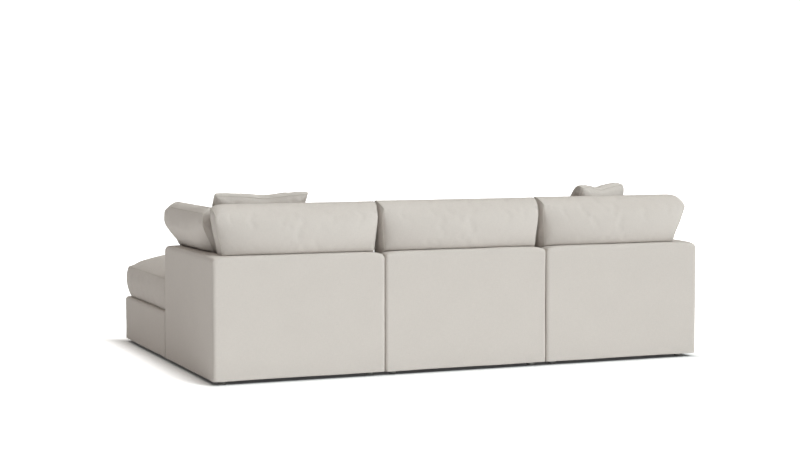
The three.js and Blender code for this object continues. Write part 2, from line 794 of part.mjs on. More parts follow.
function cornerModule(name, position, { isMirrored, backTapers, pillowPlace }) {
  const module = {
    half: (cornerWidth - moduleSeam) / 2,
    depth: moduleDepth,
    backWall: true,
    sideWall: true,
    backTapers,
  };
  const builder = new ModuleBuilder(name, position, isMirrored);
  const { outer, shell } = coverSolid(module);
  builder.add('cover', geometryOf(shell), materials.fabric);
  builder.addBase(module);
  const seamX = -cornerWidth / 2;
  for (const [end, y] of connectorYs) {
    builder.add(`${end}_tongue`, connectorTongue().translate(seamX, y, 0), materials.steel);
  }
  const seat = seatCushion(
    [seatMargin - module.half, module.half - wallThickness - touch],
    [seatMargin - module.depth, -wallThickness - touch],
    { pressedRear: backPressedDepth, pressedSide: sidePressedWidth },
  );
  const back = clearedOfWalls(solidOf(backCushionGeometry(module)), outer);
  const backColumn = liftColumn(backCushionGeometry(module, untapered));
  const side = clearedOfWalls(solidOf(sideCushionGeometry(module)), outer)
    .subtract(backColumn.translate([0, -liftClearance, 0]))
    .subtract(backColumn.translate([liftClearance, 0, 0]));
  const sideColumn = liftColumn(sideCushionGeometry(module, untapered)).translate([-liftClearance, 0, 0]);
  const pillow = clearedOfWalls(restingPillow(module, pillowPlace, solidOf(seat), back), outer)
    .subtract(sideColumn);
  builder.add('seat_cushion', seat, materials.fabric);
  builder.add('back_cushion', geometryOf(back), materials.fabric);
  builder.add('side_cushion', geometryOf(side), materials.fabric);
  builder.add('throw_pillow', geometryOf(pillow), materials.fabric);
  return builder.group;
}

function armlessModule(name, position) {
  const module = {
    half: (armlessWidth - moduleSeam) / 2,
    depth: moduleDepth,
    backWall: true,
    sideWall: false,
    backTapers: [backInnerTaper, backFilledTaper],
  };
  const builder = new ModuleBuilder(name, position);
  const { outer, shell } = coverSolid(module);
  builder.add('cover', geometryOf(shell), materials.fabric);
  builder.addBase(module);
  const socketX = armlessWidth / 2 - connectorEdge - socketLength;
  for (const [end, y] of connectorYs) {
    const left = connectorSocket().translate(socketX, y, 0);
    builder.add(`left_${end}_socket`, left, materials.steel);
    builder.add(`right_${end}_socket`, mirroredGeometry(left), materials.steel);
  }
  const edge = module.half - seatMargin;
  const seat = seatCushion(
    [-edge, edge],
    [seatMargin - module.depth, -wallThickness - touch],
    { pressedRear: backPressedDepth },
  );
  const back = clearedOfWalls(solidOf(backCushionGeometry(module)), outer);
  builder.add('seat_cushion', seat, materials.fabric);
  builder.add('back_cushion', geometryOf(back), materials.fabric);
  return builder.group;
}

function ottomanModule(name, position) {
  const module = {
    half: (cornerWidth - moduleSeam) / 2,
    depth: ottomanDepth,
    backWall: false,
    sideWall: false,
  };
  const builder = new ModuleBuilder(name, position);
  builder.add('cover', geometryOf(coverSolid(module).shell), materials.fabric);
  builder.addBase(module);
  const edge = module.half - seatMargin;
  const cushion = seatCushion([-edge, edge], [seatMargin - module.depth, -seatMargin]);
  builder.add('cushion', cushion, materials.fabric);
  return builder.group;
}

const rearY = sofaDepth / 2;
const cornerX = (sofaWidth - cornerWidth) / 2;
const ottomanRearY = rearY - moduleDepth - ottomanGap;

const sofa = new THREE.Group();
sofa.add(cornerModule('left_corner', [cornerX, rearY, 0], {
  isMirrored: false,
  backTapers: [backInnerTaper, leftBackOuterTaper],
  pillowPlace: leftPillowPlace,
}));
sofa.add(armlessModule('middle', [0, rearY, 0]));
sofa.add(cornerModule('right_corner', [-cornerX, rearY, 0], {
  isMirrored: true,
  backTapers: [backFilledTaper, rightBackOuterTaper],
  pillowPlace: rightPillowPlace,
}));
sofa.add(ottomanModule('ottoman', [cornerX, ottomanRearY, 0]));

export default sofa;
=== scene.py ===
"""Looks of a modular sectional sofa: its covers, cushions, throw pillows and undersides.

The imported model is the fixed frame. Every piece here is in metres in the same frame: +Z is up, +X
points to the sitter's left and the seats face -Y.
"""

from __future__ import annotations

import json
import logging
import math
from dataclasses import dataclass, field
from enum import Enum
from typing import Callable, Sequence

import bmesh
import bpy
import numpy as np
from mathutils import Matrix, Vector
from mathutils.bvhtree import BVHTree

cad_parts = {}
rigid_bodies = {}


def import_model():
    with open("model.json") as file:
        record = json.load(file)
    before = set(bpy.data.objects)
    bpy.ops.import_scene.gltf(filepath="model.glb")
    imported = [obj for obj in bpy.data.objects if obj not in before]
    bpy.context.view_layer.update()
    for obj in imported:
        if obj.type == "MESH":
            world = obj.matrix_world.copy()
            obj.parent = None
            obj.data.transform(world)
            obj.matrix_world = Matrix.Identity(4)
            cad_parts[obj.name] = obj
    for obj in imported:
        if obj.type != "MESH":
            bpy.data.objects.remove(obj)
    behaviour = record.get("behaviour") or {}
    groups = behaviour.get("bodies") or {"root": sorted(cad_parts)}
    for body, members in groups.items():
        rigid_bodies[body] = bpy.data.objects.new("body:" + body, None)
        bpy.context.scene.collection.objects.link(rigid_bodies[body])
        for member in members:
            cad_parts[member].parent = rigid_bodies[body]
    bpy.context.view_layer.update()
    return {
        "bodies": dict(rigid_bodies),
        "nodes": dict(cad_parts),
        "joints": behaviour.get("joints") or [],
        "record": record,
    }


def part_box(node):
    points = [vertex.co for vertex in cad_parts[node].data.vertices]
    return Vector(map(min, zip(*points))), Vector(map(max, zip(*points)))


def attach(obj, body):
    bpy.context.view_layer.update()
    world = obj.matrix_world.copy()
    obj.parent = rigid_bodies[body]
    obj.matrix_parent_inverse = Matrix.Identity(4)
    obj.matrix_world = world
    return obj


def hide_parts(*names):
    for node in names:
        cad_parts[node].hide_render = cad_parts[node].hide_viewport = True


LOG = logging.getLogger("sofa")

Array = np.ndarray
Swell = Callable[[Array, Array], Array]

UV_NAME = "weave"


class Slot(Enum):
    """Material slots of the record."""

    FABRIC = "fabric"
    LINING = "lining"
    WEBBING = "webbing"
    PADDING = "padding"
    STEEL = "steel"


@dataclass(frozen=True)
class SofaPlan:
    """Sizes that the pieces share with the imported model."""

    hem: float = 0.020
    deck: float = 0.265
    wall_top: float = 0.624
    wall_crown: float = 0.008
    wall: float = 0.105
    edge_radius: float = 0.012
    top_radius: float = 0.023
    seat_base: float = 0.2653
    foot: float = 0.4783
    touch: float = 0.0003
    lift_gap: float = 0.002


PLAN = SofaPlan()


@dataclass(frozen=True)
class ModulePlace:
    """One module: its sizes, and where its middle and its rear face stand.

    In a module's own frame x runs across from its middle, y is minus the distance from its rear
    face and z is the height above the floor. A side wall stands at +X, and a mirrored module turns
    x round.
    """

    name: str
    half: float
    depth: float
    middle_x: float
    rear_y: float
    mirrored: bool = False
    back_wall: bool = True
    side_wall: bool = False

    def to_row(self, points: Array) -> Array:
        """Returns points of the module's frame in the sofa's frame."""
        sign = -1.0 if self.mirrored else 1.0
        return points * (sign, 1.0, 1.0) + (self.middle_x, self.rear_y, 0.0)


LEFT_CORNER = ModulePlace("left_corner", 0.4527, 0.923, 0.910, 0.914, side_wall=True)
MIDDLE = ModulePlace("middle", 0.4567, 0.923, 0.0, 0.914)
RIGHT_CORNER = ModulePlace("right_corner", 0.4527, 0.923, -0.910, 0.914, mirrored=True, side_wall=True)
OTTOMAN = ModulePlace("ottoman", 0.4527, 0.900, 0.910, -0.014, back_wall=False)
MODULES = (LEFT_CORNER, MIDDLE, RIGHT_CORNER, OTTOMAN)


# Finishes


class NodeBench:
    """Adds and links the nodes of one material."""

    WAVES_PER_UNIT = 3.18

    def __init__(self, name: str) -> None:
        """Starts an empty material.

        Args:
            name: The material's name.
        """
        self.material = bpy.data.materials.new(name)
        self.material.use_nodes = True
        self.tree = self.material.node_tree
        self.tree.nodes.clear()
        self.shader = self.add("ShaderNodeBsdfPrincipled")
        output = self.add("ShaderNodeOutputMaterial")
        self.link(self.shader.outputs["BSDF"], output.inputs["Surface"])

    def add(self, kind: str, **values: object) -> bpy.types.Node:
        """Adds a node.

        Args:
            kind: Blender's name for the node's type.
            values: Attributes of the node and their values.

        Returns:
            The node.
        """
        node = self.tree.nodes.new(kind)
        for key, value in values.items():
            setattr(node, key, value)
        return node

    def link(self, source: bpy.types.NodeSocket, target: bpy.types.NodeSocket) -> None:
        """Links an output to an input."""
        self.tree.links.new(source, target)

    def coordinates(self, scale: Sequence[float], use_uv: bool) -> bpy.types.NodeSocket:
        """Adds scaled coordinates.

        Args:
            scale: Repeats per metre along each axis.
            use_uv: True for the cloth's own map, False for the object's axes.

        Returns:
            The socket that gives the vector.
        """
        source = self.add("ShaderNodeTexCoord").outputs["Object"]
        if use_uv:
            source = self.add("ShaderNodeUVMap", uv_map=UV_NAME).outputs["UV"]
        mapping = self.add("ShaderNodeMapping")
        mapping.inputs["Scale"].default_value = scale
        self.link(source, mapping.inputs["Vector"])
        return mapping.outputs["Vector"]

    def noise(self, scale: Sequence[float], use_uv: bool, detail: float = 2.0) -> bpy.types.NodeSocket:
        """Adds a noise pattern.

        Args:
            scale: Repeats per metre along each axis.
            use_uv: True to follow the cloth.
            detail: Octaves of finer noise.

        Returns:
            The socket that gives the value.
        """
        node = self.add("ShaderNodeTexNoise")
        node.inputs["Scale"].default_value = 1.0
        node.inputs["Detail"].default_value = detail
        self.link(self.coordinates(scale, use_uv), node.inputs["Vector"])
        return node.outputs["Fac"]

    def bands(self, scale: Sequence[float], direction: str, use_uv: bool) -> bpy.types.NodeSocket:
        """Adds even sine bands across one axis, one for each repeat of the scale."""
        node = self.add("ShaderNodeTexWave", bands_direction=direction)
        node.inputs["Scale"].default_value = 1.0 / self.WAVES_PER_UNIT
        self.link(self.coordinates(scale, use_uv), node.inputs["Vector"])
        return node.outputs["Fac"]

    def math(self, operation: str, a: object, b: object) -> bpy.types.NodeSocket:
        """Adds a math node on two sockets or numbers."""
        node = self.add("ShaderNodeMath", operation=operation)
        for value, socket in zip((a, b), node.inputs):
            if isinstance(value, bpy.types.NodeSocket):
                self.link(value, socket)
            else:
                socket.default_value = value
        return node.outputs["Value"]

    def weighted(self, parts: Sequence[tuple[bpy.types.NodeSocket, float]]) -> bpy.types.NodeSocket:
        """Adds values that are each centred on a half and weighted, and centres the sum on zero."""
        total: object = 0.0
        for value, weight in parts:
            centred = self.math("SUBTRACT", value, 0.5)
            total = self.math("ADD", total, self.math("MULTIPLY", centred, weight))
        return total

    def tint(self, colour: Sequence[float], shade: bpy.types.NodeSocket) -> None:
        """Paints the surface with a colour made lighter and darker by a shade around zero."""
        factor = self.math("ADD", shade, 1.0)
        node = self.add("ShaderNodeVectorMath", operation="SCALE")
        node.inputs[0].default_value = colour
        self.link(factor, node.inputs["Scale"])
        self.link(node.outputs["Vector"], self.shader.inputs["Base Color"])

    def bump(self, height: bpy.types.NodeSocket, distance: float, strength: float) -> None:
        """Raises the surface by a height pattern."""
        node = self.add("ShaderNodeBump")
        node.inputs["Distance"].default_value = distance
        node.inputs["Strength"].default_value = strength
        self.link(height, node.inputs["Height"])
        self.link(node.outputs["Normal"], self.shader.inputs["Normal"])


@dataclass(frozen=True)
class WovenFabric:
    """A plain weave of slubby yarn, a little uneven in colour."""

    name: str
    colour: tuple[float, float, float]
    threads: float = 640.0
    slubs_along: float = 34.0
    slubs_across: float = 0.9
    slub_shade: float = 0.10
    weave_shade: float = 0.12
    cloud_shade: float = 0.05
    roughness: float = 0.93
    sheen: float = 0.04
    relief: float = 0.0004
    use_uv: bool = True

    def material(self) -> bpy.types.Material:
        """Returns the finish as a material."""
        bench = NodeBench(self.name)
        warp, weft = (bench.bands((self.threads,) * 3, direction, self.use_uv) for direction in "XY")
        weave = bench.math("MAXIMUM", warp, weft)
        across = self.threads * self.slubs_across
        slub_u = bench.noise((self.slubs_along, across, across), self.use_uv)
        slub_v = bench.noise((across, self.slubs_along, across), self.use_uv)
        clouds = bench.noise((5.0, 5.0, 5.0), self.use_uv, 4.0)
        fuzz = bench.noise((90.0, 90.0, 90.0), self.use_uv, 3.0)
        shade = bench.weighted([
            (weave, self.weave_shade), (slub_u, self.slub_shade), (slub_v, self.slub_shade),
            (clouds, self.cloud_shade), (fuzz, self.cloud_shade),
        ])
        bench.tint(self.colour, shade)
        height = bench.weighted([(weave, 1.0), (slub_u, 0.8), (slub_v, 0.8), (fuzz, 0.6)])
        bench.bump(height, self.relief, 0.7)
        bench.shader.inputs["Roughness"].default_value = self.roughness
        bench.shader.inputs["Sheen Weight"].default_value = self.sheen
        bench.shader.inputs["Sheen Roughness"].default_value = 0.5
        bench.shader.inputs["Specular IOR Level"].default_value = 0.25
        return bench.material


@dataclass(frozen=True)
class GrainedFinish:
    """A hard finish with a grain along one axis."""

    name: str
    colour: tuple[float, float, float]
    grain: tuple[float, float, float]
    grain_shade: float
    roughness: float
    metallic: float = 0.0
    relief: float = 0.0001

    def material(self) -> bpy.types.Material:
        """Returns the finish as a material."""
        bench = NodeBench(self.name)
        grain = bench.noise(self.grain, False, 5.0)
        blotch = bench.noise((7.0, 7.0, 7.0), False)
        bench.tint(self.colour, bench.weighted([(grain, self.grain_shade), (blotch, self.grain_shade / 2)]))
        bench.bump(grain, self.relief, 0.5)
        bench.shader.inputs["Roughness"].default_value = self.roughness
        bench.shader.inputs["Metallic"].default_value = self.metallic
        return bench.material


GREIGE = (0.604, 0.556, 0.520)
LINEN = WovenFabric("greige_linen_weave", GREIGE)
SEAM_CLOTH = WovenFabric("greige_seam_cloth", (0.560, 0.520, 0.475), slub_shade=0.05, use_uv=False)
LINING = WovenFabric("black_lining", (0.012, 0.012, 0.013), threads=900.0, slub_shade=0.3, sheen=0.0)
JUTE = WovenFabric("jute_webbing", (0.27, 0.235, 0.18), threads=420.0, slub_shade=0.25, relief=0.0006)
WADDING = WovenFabric("white_wadding", (0.78, 0.76, 0.71), threads=300.0, weave_shade=0.03, relief=0.0008)
PINE = GrainedFinish("planed_pine", (0.56, 0.37, 0.19), (6.0, 90.0, 120.0), 0.35, 0.62)
MOULDED = GrainedFinish("moulded_plastic", (0.50, 0.49, 0.47), (900.0, 900.0, 900.0), 0.2, 0.45)
STEEL = GrainedFinish("brushed_steel", (0.30, 0.31, 0.33), (30.0, 1400.0, 1400.0), 0.25, 0.36, 1.0)


class Finishes:
    """Makes each finish once and hands it out."""

    def __init__(self) -> None:
        """Starts with no finish made."""
        self.made: dict[str, bpy.types.Material] = {}

    def of(self, finish: WovenFabric | GrainedFinish) -> bpy.types.Material:
        """Returns the material of a finish."""
        if finish.name not in self.made:
            self.made[finish.name] = finish.material()
        return self.made[finish.name]


FINISHES = Finishes()


# Meshes


@dataclass
class ClothForm:
    """Points and four-cornered faces of a piece of upholstery.

    Attributes:
        points: Places of the vertices in the module's frame.
        faces: Corners of each face.
        flat: Places from which the weave is laid out, in the piece's own frame.
        seams: Vertices along each sewn seam, and whether the seam closes on itself.
        held: How firmly each vertex keeps its place while the filling puffs up, from 0 to 1.
    """

    points: Array
    faces: Array
    flat: Array
    seams: list[tuple[list[int], bool]] = field(default_factory=list)
    held: Array = field(default_factory=lambda: np.zeros(0))


def weave_map(flat: Array, faces: Array) -> Array:
    """Lays the weave on each face along the two axes that it faces least.

    Args:
        flat: Places of the vertices in the piece's own frame.
        faces: Corners of each face.

    Returns:
        Two numbers in metres for each face corner.
    """
    corners = flat[faces]
    normals = np.cross(corners[:, 2] - corners[:, 0], corners[:, 3] - corners[:, 1])
    axis = np.abs(normals).argmax(axis=1)[:, None]
    u = np.where(axis == 0, corners[:, :, 1], corners[:, :, 0])
    v = np.where(axis == 2, corners[:, :, 1], corners[:, :, 2])
    return np.stack([u, v], axis=2).reshape(-1, 2)


def grid_faces(rows: int, columns: int) -> tuple[Array, Array]:
    """Returns the faces of a grid of vertices, and the vertices round its rim."""
    grid = np.arange(columns * rows).reshape(rows, columns)
    quads = np.stack([grid[:-1, :-1], grid[:-1, 1:], grid[1:, 1:], grid[1:, :-1]], axis=-1)
    rim = np.concatenate([grid[0, :-1], grid[:-1, -1], grid[-1, :0:-1], grid[:0:-1, 0]])
    return quads.reshape(-1, 4), rim


def strip_faces(lower: Array, upper: Array) -> Array:
    """Returns the faces between two closed rows of vertices."""
    return np.stack([lower, np.roll(lower, -1), np.roll(upper, -1), upper], axis=1)


def joined(parts: Sequence[tuple[Array, Array]]) -> tuple[Array, Array]:
    """Returns the points and faces of several parts as those of one."""
    starts = np.cumsum([0] + [len(points) for points, _ in parts])
    moved = [faces + start for (_, faces), start in zip(parts, starts)]
    return np.concatenate([points for points, _ in parts]), np.concatenate(moved)


def mesh_object(name: str, points: Array, faces: Array, flat: Array | None = None) -> bpy.types.Object:
    """Makes an object at the origin from points and faces.

    Args:
        name: The object's name.
        points: Places of the vertices.
        faces: Corners of each face.
        flat: Places from which the weave is laid out, if the piece is woven.

    Returns:
        The object, smooth shaded and in the scene.
    """
    mesh = bpy.data.meshes.new(name)
    mesh.from_pydata(points.tolist(), [], faces.tolist())
    mesh.polygons.foreach_set("use_smooth", np.ones(len(mesh.polygons), dtype=bool))
    if flat is not None:
        layer = mesh.uv_layers.new(name=UV_NAME)
        layer.data.foreach_set("uv", weave_map(flat, faces).ravel())
    mesh.validate()
    mesh.update()
    obj = bpy.data.objects.new(name, mesh)
    bpy.context.scene.collection.objects.link(obj)
    return obj


def vertex_places(mesh: bpy.types.Mesh) -> Array:
    """Returns the places of a mesh's vertices."""
    places = np.empty(len(mesh.vertices) * 3)
    mesh.vertices.foreach_get("co", places)
    return places.reshape(-1, 3)


def place_vertices(mesh: bpy.types.Mesh, places: Array) -> None:
    """Moves a mesh's vertices."""
    mesh.vertices.foreach_set("co", np.asarray(places, dtype=float).ravel())
    mesh.update()


def evaluated_mesh(obj: bpy.types.Object) -> bpy.types.Mesh:
    """Returns a plain mesh of an object with its modifiers."""
    graph = bpy.context.evaluated_depsgraph_get()
    evaluated = obj.evaluated_get(graph)
    return bpy.data.meshes.new_from_object(evaluated, preserve_all_data_layers=True, depsgraph=graph)


def apply_modifiers(obj: bpy.types.Object) -> None:
    """Replaces an object's mesh by its finished form and drops its modifiers."""
    finished = evaluated_mesh(obj)
    old = obj.data
    obj.modifiers.clear()
    obj.data = finished
    bpy.data.meshes.remove(old)


def dress(obj: bpy.types.Object, body: str, finish: WovenFabric | GrainedFinish) -> None:
    """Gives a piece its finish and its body.

    Args:
        obj: The piece.
        body: The body that it rides on.
        finish: How it looks.
    """
    obj.data.materials.clear()
    obj.data.materials.append(FINISHES.of(finish))
    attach(obj, body)
    LOG.info("%s rides on %s", obj.name, body)


# Cushions

RIM = 0.9999
EVEN_SHARE = 0.45
SEWN_SHARE = 0.55
HELD_FOOT = 0.012
HELD_MARGIN = 0.02
OBSTACLE_GAP = PLAN.touch * 3
OBSTACLE_REACH = 0.08


def fullness(share: Array, power: float) -> Array:
    """Returns how full a panel is at a share between its seams, from -1 to 1."""
    return np.maximum(0.0, 1.0 - np.square(share)) ** power


def no_swell(u: Array, v: Array) -> Array:
    """Returns the swell of a flat panel."""
    return np.zeros_like(u)


def free_share(share: Array, edge: float) -> Array:
    """Returns the share across the free part of a panel, where all beyond edge is pressed flat."""
    return np.where(share >= edge, 1.0, 2.0 * (share + 1.0) / (edge + 1.0) - 1.0)


def sewn_shares(count: int) -> Array:
    """Returns shares from -1 to 1 that lie closer together towards the seams."""
    even = np.linspace(-1.0, 1.0, count + 1)
    return EVEN_SHARE * even + SEWN_SHARE * np.sin(even * math.pi / 2)


def on_rim(share: Array) -> Array:
    """Returns -1 or 1 on a rim and 0 elsewhere."""
    return np.where(np.abs(share) > RIM, np.sign(share), 0.0)


@dataclass(frozen=True)
class Boxing:
    """A cushion sewn from a lower panel, an upper panel and a strip between them."""

    at: Callable[[Array, Array, Array], Array]
    lower_swell: Swell
    upper_swell: Swell
    us: Array
    vs: Array
    bands: int

    def sew(self) -> ClothForm:
        """Returns the closed form with its seams."""
        columns, rows = len(self.us), len(self.vs)
        v_grid, u_grid = np.meshgrid(self.vs, self.us, indexing="ij")
        u, v = u_grid.ravel(), v_grid.ravel()
        lower = self.at(u, v, np.zeros_like(u))
        lower[:, 2] -= self.lower_swell(u, v)
        upper = self.at(u, v, np.ones_like(u))
        upper[:, 2] += self.upper_swell(u, v)
        quads, rim = grid_faces(rows, columns)
        offset = columns * rows
        rings = [rim]
        strips = []
        for band in range(1, self.bands):
            share = np.full(len(rim), band / self.bands)
            strips.append(self.at(u[rim], v[rim], share))
            rings.append(2 * offset + (band - 1) * len(rim) + np.arange(len(rim)))
        rings.append(rim + offset)
        walls = [strip_faces(a, b) for a, b in zip(rings, rings[1:])]
        points = np.concatenate([lower, upper, *strips])
        faces = np.concatenate([quads[:, ::-1], quads + offset, *walls])
        turns = np.cumsum([0, columns - 1, rows - 1, columns - 1])
        seams = [(rings[0].tolist(), True), (rings[-1].tolist(), True)]
        seams += [([int(ring[turn]) for ring in rings], False) for turn in turns]
        return ClothForm(points, faces, points.copy(), seams, np.zeros(len(points)))


@dataclass(frozen=True)
class ClothFill:
    """How the filling puffs the cloth up between its seams."""

    pressure: float = 4.0
    cap: float = 0.010
    spare_cloth: float = 0.02
    last_frame: int = 20

    def puff(self, obj: bpy.types.Object, held: Array) -> None:
        """Runs the cloth simulation on a piece and keeps its result.

        Args:
            obj: The piece.
            held: How firmly each vertex keeps its place, from 0 to 1.
        """
        group = obj.vertex_groups.new(name="held")
        for weight in np.unique(held):
            if weight > 0:
                group.add(np.nonzero(held == weight)[0].tolist(), float(weight), "REPLACE")
        cloth = obj.modifiers.new("filling", "CLOTH")
        settings = cloth.settings
        settings.quality = 4
        settings.mass = 0.3
        settings.tension_stiffness = 12.0
        settings.compression_stiffness = 12.0
        settings.shear_stiffness = 4.0
        settings.bending_stiffness = 0.4
        settings.use_pressure = True
        settings.uniform_pressure_force = self.pressure
        settings.shrink_min = -self.spare_cloth
        settings.vertex_group_mass = group.name
        settings.pin_stiffness = 1.0
        settings.effector_weights.gravity = 0.0
        cloth.collision_settings.use_collision = False
        cloth.point_cache.frame_start = 1
        cloth.point_cache.frame_end = self.last_frame
        for frame in range(1, self.last_frame + 1):
            bpy.context.scene.frame_set(frame)
        before = vertex_places(obj.data)
        puffed = evaluated_mesh(obj)
        moved = vertex_places(puffed) - before
        bpy.data.meshes.remove(puffed)
        reach = np.linalg.norm(moved, axis=1, keepdims=True)
        moved *= np.minimum(1.0, self.cap / np.maximum(reach, 1e-9))
        obj.modifiers.remove(cloth)
        obj.vertex_groups.remove(group)
        place_vertices(obj.data, before + moved)
        bpy.context.scene.frame_set(1)


def surface_tree(obj: bpy.types.Object) -> BVHTree:
    """Returns a search tree of an object's faces."""
    mesh = obj.data
    return BVHTree.FromPolygons([v.co for v in mesh.vertices], [p.vertices for p in mesh.polygons])


def clear_of(points: Array, tree: BVHTree, gap: float, reach: float) -> Array:
    """Pushes points out of a closed surface.

    Args:
        points: Places to clear.
        tree: Search tree of the surface.
        gap: Distance that they keep from it.
        reach: Furthest distance at which a point is looked at.

    Returns:
        The places, clear of the surface.
    """
    cleared = points.copy()
    for i, point in enumerate(points):
        place = Vector(point)
        near, normal, _, distance = tree.find_nearest(place, reach)
        if near is not None and (place - near).dot(normal) < gap:
            if distance > gap or (place - near).dot(normal) < gap:
                cleared[i] = near + normal * gap
    return cleared


def path_tree(name: str, sockets: dict[str, str]) -> bpy.types.NodeTree:
    """Starts a Geometry Nodes tree that works on a mesh's edges.

    Args:
        name: The tree's name.
        sockets: Its inputs by name, with the kind of each.

    Returns:
        The tree, with its inputs and its output.
    """
    tree = bpy.data.node_groups.new(name, "GeometryNodeTree")
    for socket, kind in {"Geometry": "Geometry", **sockets}.items():
        tree.interface.new_socket(socket, in_out="INPUT", socket_type=f"NodeSocket{kind}")
    tree.interface.new_socket("Geometry", in_out="OUTPUT", socket_type="NodeSocketGeometry")
    return tree


def link_all(
    tree: bpy.types.NodeTree, links: Sequence[tuple[bpy.types.Node, str, bpy.types.Node, str]]
) -> None:
    """Links nodes of a tree, each output by name to an input by name."""
    for source, output, target, socket in links:
        tree.links.new(source.outputs[output], target.inputs[socket])


def seam_tree() -> bpy.types.NodeTree:
    """Builds the tree that rolls a cord of cloth along the edges of a mesh.

    Returns:
        The tree, with its radius, step and material as inputs.
    """
    tree = path_tree("rolled_seam", {"Radius": "Float", "Step": "Float", "Material": "Material"})
    inputs, output, curve, resample, circle, sweep, smooth, realize, paint = map(tree.nodes.new, (
        "NodeGroupInput", "NodeGroupOutput", "GeometryNodeMeshToCurve", "GeometryNodeResampleCurve",
        "GeometryNodeCurvePrimitiveCircle", "GeometryNodeCurveToMesh", "GeometryNodeSetShadeSmooth",
        "GeometryNodeRealizeInstances", "GeometryNodeSetMaterial",
    ))
    resample.mode = "LENGTH"
    circle.inputs["Resolution"].default_value = 8
    sweep.inputs["Fill Caps"].default_value = True
    link_all(tree, (
        (inputs, "Geometry", curve, "Mesh"), (curve, "Curve", resample, "Curve"),
        (inputs, "Step", resample, "Length"), (inputs, "Radius", circle, "Radius"),
        (resample, "Curve", sweep, "Curve"), (circle, "Curve", sweep, "Profile Curve"),
        (sweep, "Mesh", smooth, "Geometry"), (smooth, "Geometry", realize, "Geometry"),
        (realize, "Geometry", paint, "Geometry"), (inputs, "Material", paint, "Material"),
        (paint, "Geometry", output, "Geometry"),
    ))
    return tree


def staple_tree() -> bpy.types.NodeTree:
    """Builds the tree that sets staples along the edges of a mesh.

    Returns:
        The tree, with the staple's size, the step and the material as inputs.
    """
    tree = path_tree("staple_row", {"Size": "Vector", "Step": "Float", "Material": "Material"})
    inputs, output, curve, points, cube, place, realize, paint = map(tree.nodes.new, (
        "NodeGroupInput", "NodeGroupOutput", "GeometryNodeMeshToCurve", "GeometryNodeCurveToPoints",
        "GeometryNodeMeshCube", "GeometryNodeInstanceOnPoints", "GeometryNodeRealizeInstances",
        "GeometryNodeSetMaterial",
    ))
    points.mode = "LENGTH"
    link_all(tree, (
        (inputs, "Geometry", curve, "Mesh"), (curve, "Curve", points, "Curve"),
        (inputs, "Step", points, "Length"), (inputs, "Size", cube, "Size"),
        (points, "Points", place, "Points"), (points, "Rotation", place, "Rotation"),
        (cube, "Mesh", place, "Instance"), (place, "Instances", realize, "Geometry"),
        (realize, "Geometry", paint, "Geometry"), (inputs, "Material", paint, "Material"),
        (paint, "Geometry", output, "Geometry"),
    ))
    return tree


class PathTrees:
    """Runs the Geometry Nodes trees on lines."""

    def __init__(self) -> None:
        """Builds the trees."""
        self.seam = seam_tree()
        self.staples = staple_tree()

    @staticmethod
    def lines(name: str, paths: Sequence[tuple[Array, bool]]) -> bpy.types.Object:
        """Makes an object of lines.

        Args:
            name: The object's name.
            paths: Points of each line, and whether it closes on itself.

        Returns:
            The object.
        """
        points, edges = [], []
        for path, closes in paths:
            first = len(points)
            points += [tuple(point) for point in path]
            edges += [(first + i, first + i + 1) for i in range(len(path) - 1)]
            if closes:
                edges.append((first + len(path) - 1, first))
        mesh = bpy.data.meshes.new(name)
        mesh.from_pydata(points, edges, [])
        obj = bpy.data.objects.new(name, mesh)
        bpy.context.scene.collection.objects.link(obj)
        return obj

    @staticmethod
    def run(obj: bpy.types.Object, tree: bpy.types.NodeTree, values: dict[str, object]) -> None:
        """Runs a tree on an object and keeps the resulting mesh.

        Args:
            obj: The object with the lines.
            tree: The tree to run.
            values: The tree's inputs by name.
        """
        modifier = obj.modifiers.new("path", "NODES")
        modifier.node_group = tree
        for item in tree.interface.items_tree:
            if item.in_out == "INPUT" and item.name in values:
                modifier[item.identifier] = values[item.name]
        obj.update_tag()
        apply_modifiers(obj)


@dataclass(frozen=True)
class SeamCord:
    """The rolled seam along the edge of a cushion."""

    radius: float = 0.0022
    step: float = 0.008

    def sew(self, trees: PathTrees, cushion: bpy.types.Object, form: ClothForm, body: str) -> None:
        """Lays the seams of a finished cushion.

        Args:
            trees: The Geometry Nodes trees.
            cushion: The cushion, whose first vertices are those of its form.
            form: The form with its seams.
            body: The body that the cushion rides on.
        """
        places = vertex_places(cushion.data)
        paths = [(places[seam], closes) for seam, closes in form.seams]
        obj = trees.lines(f"{cushion.name}_seams", paths)
        trees.run(obj, trees.seam, {
            "Radius": self.radius, "Step": self.step, "Material": FINISHES.of(SEAM_CLOTH),
        })
        dress(obj, body, SEAM_CLOTH)


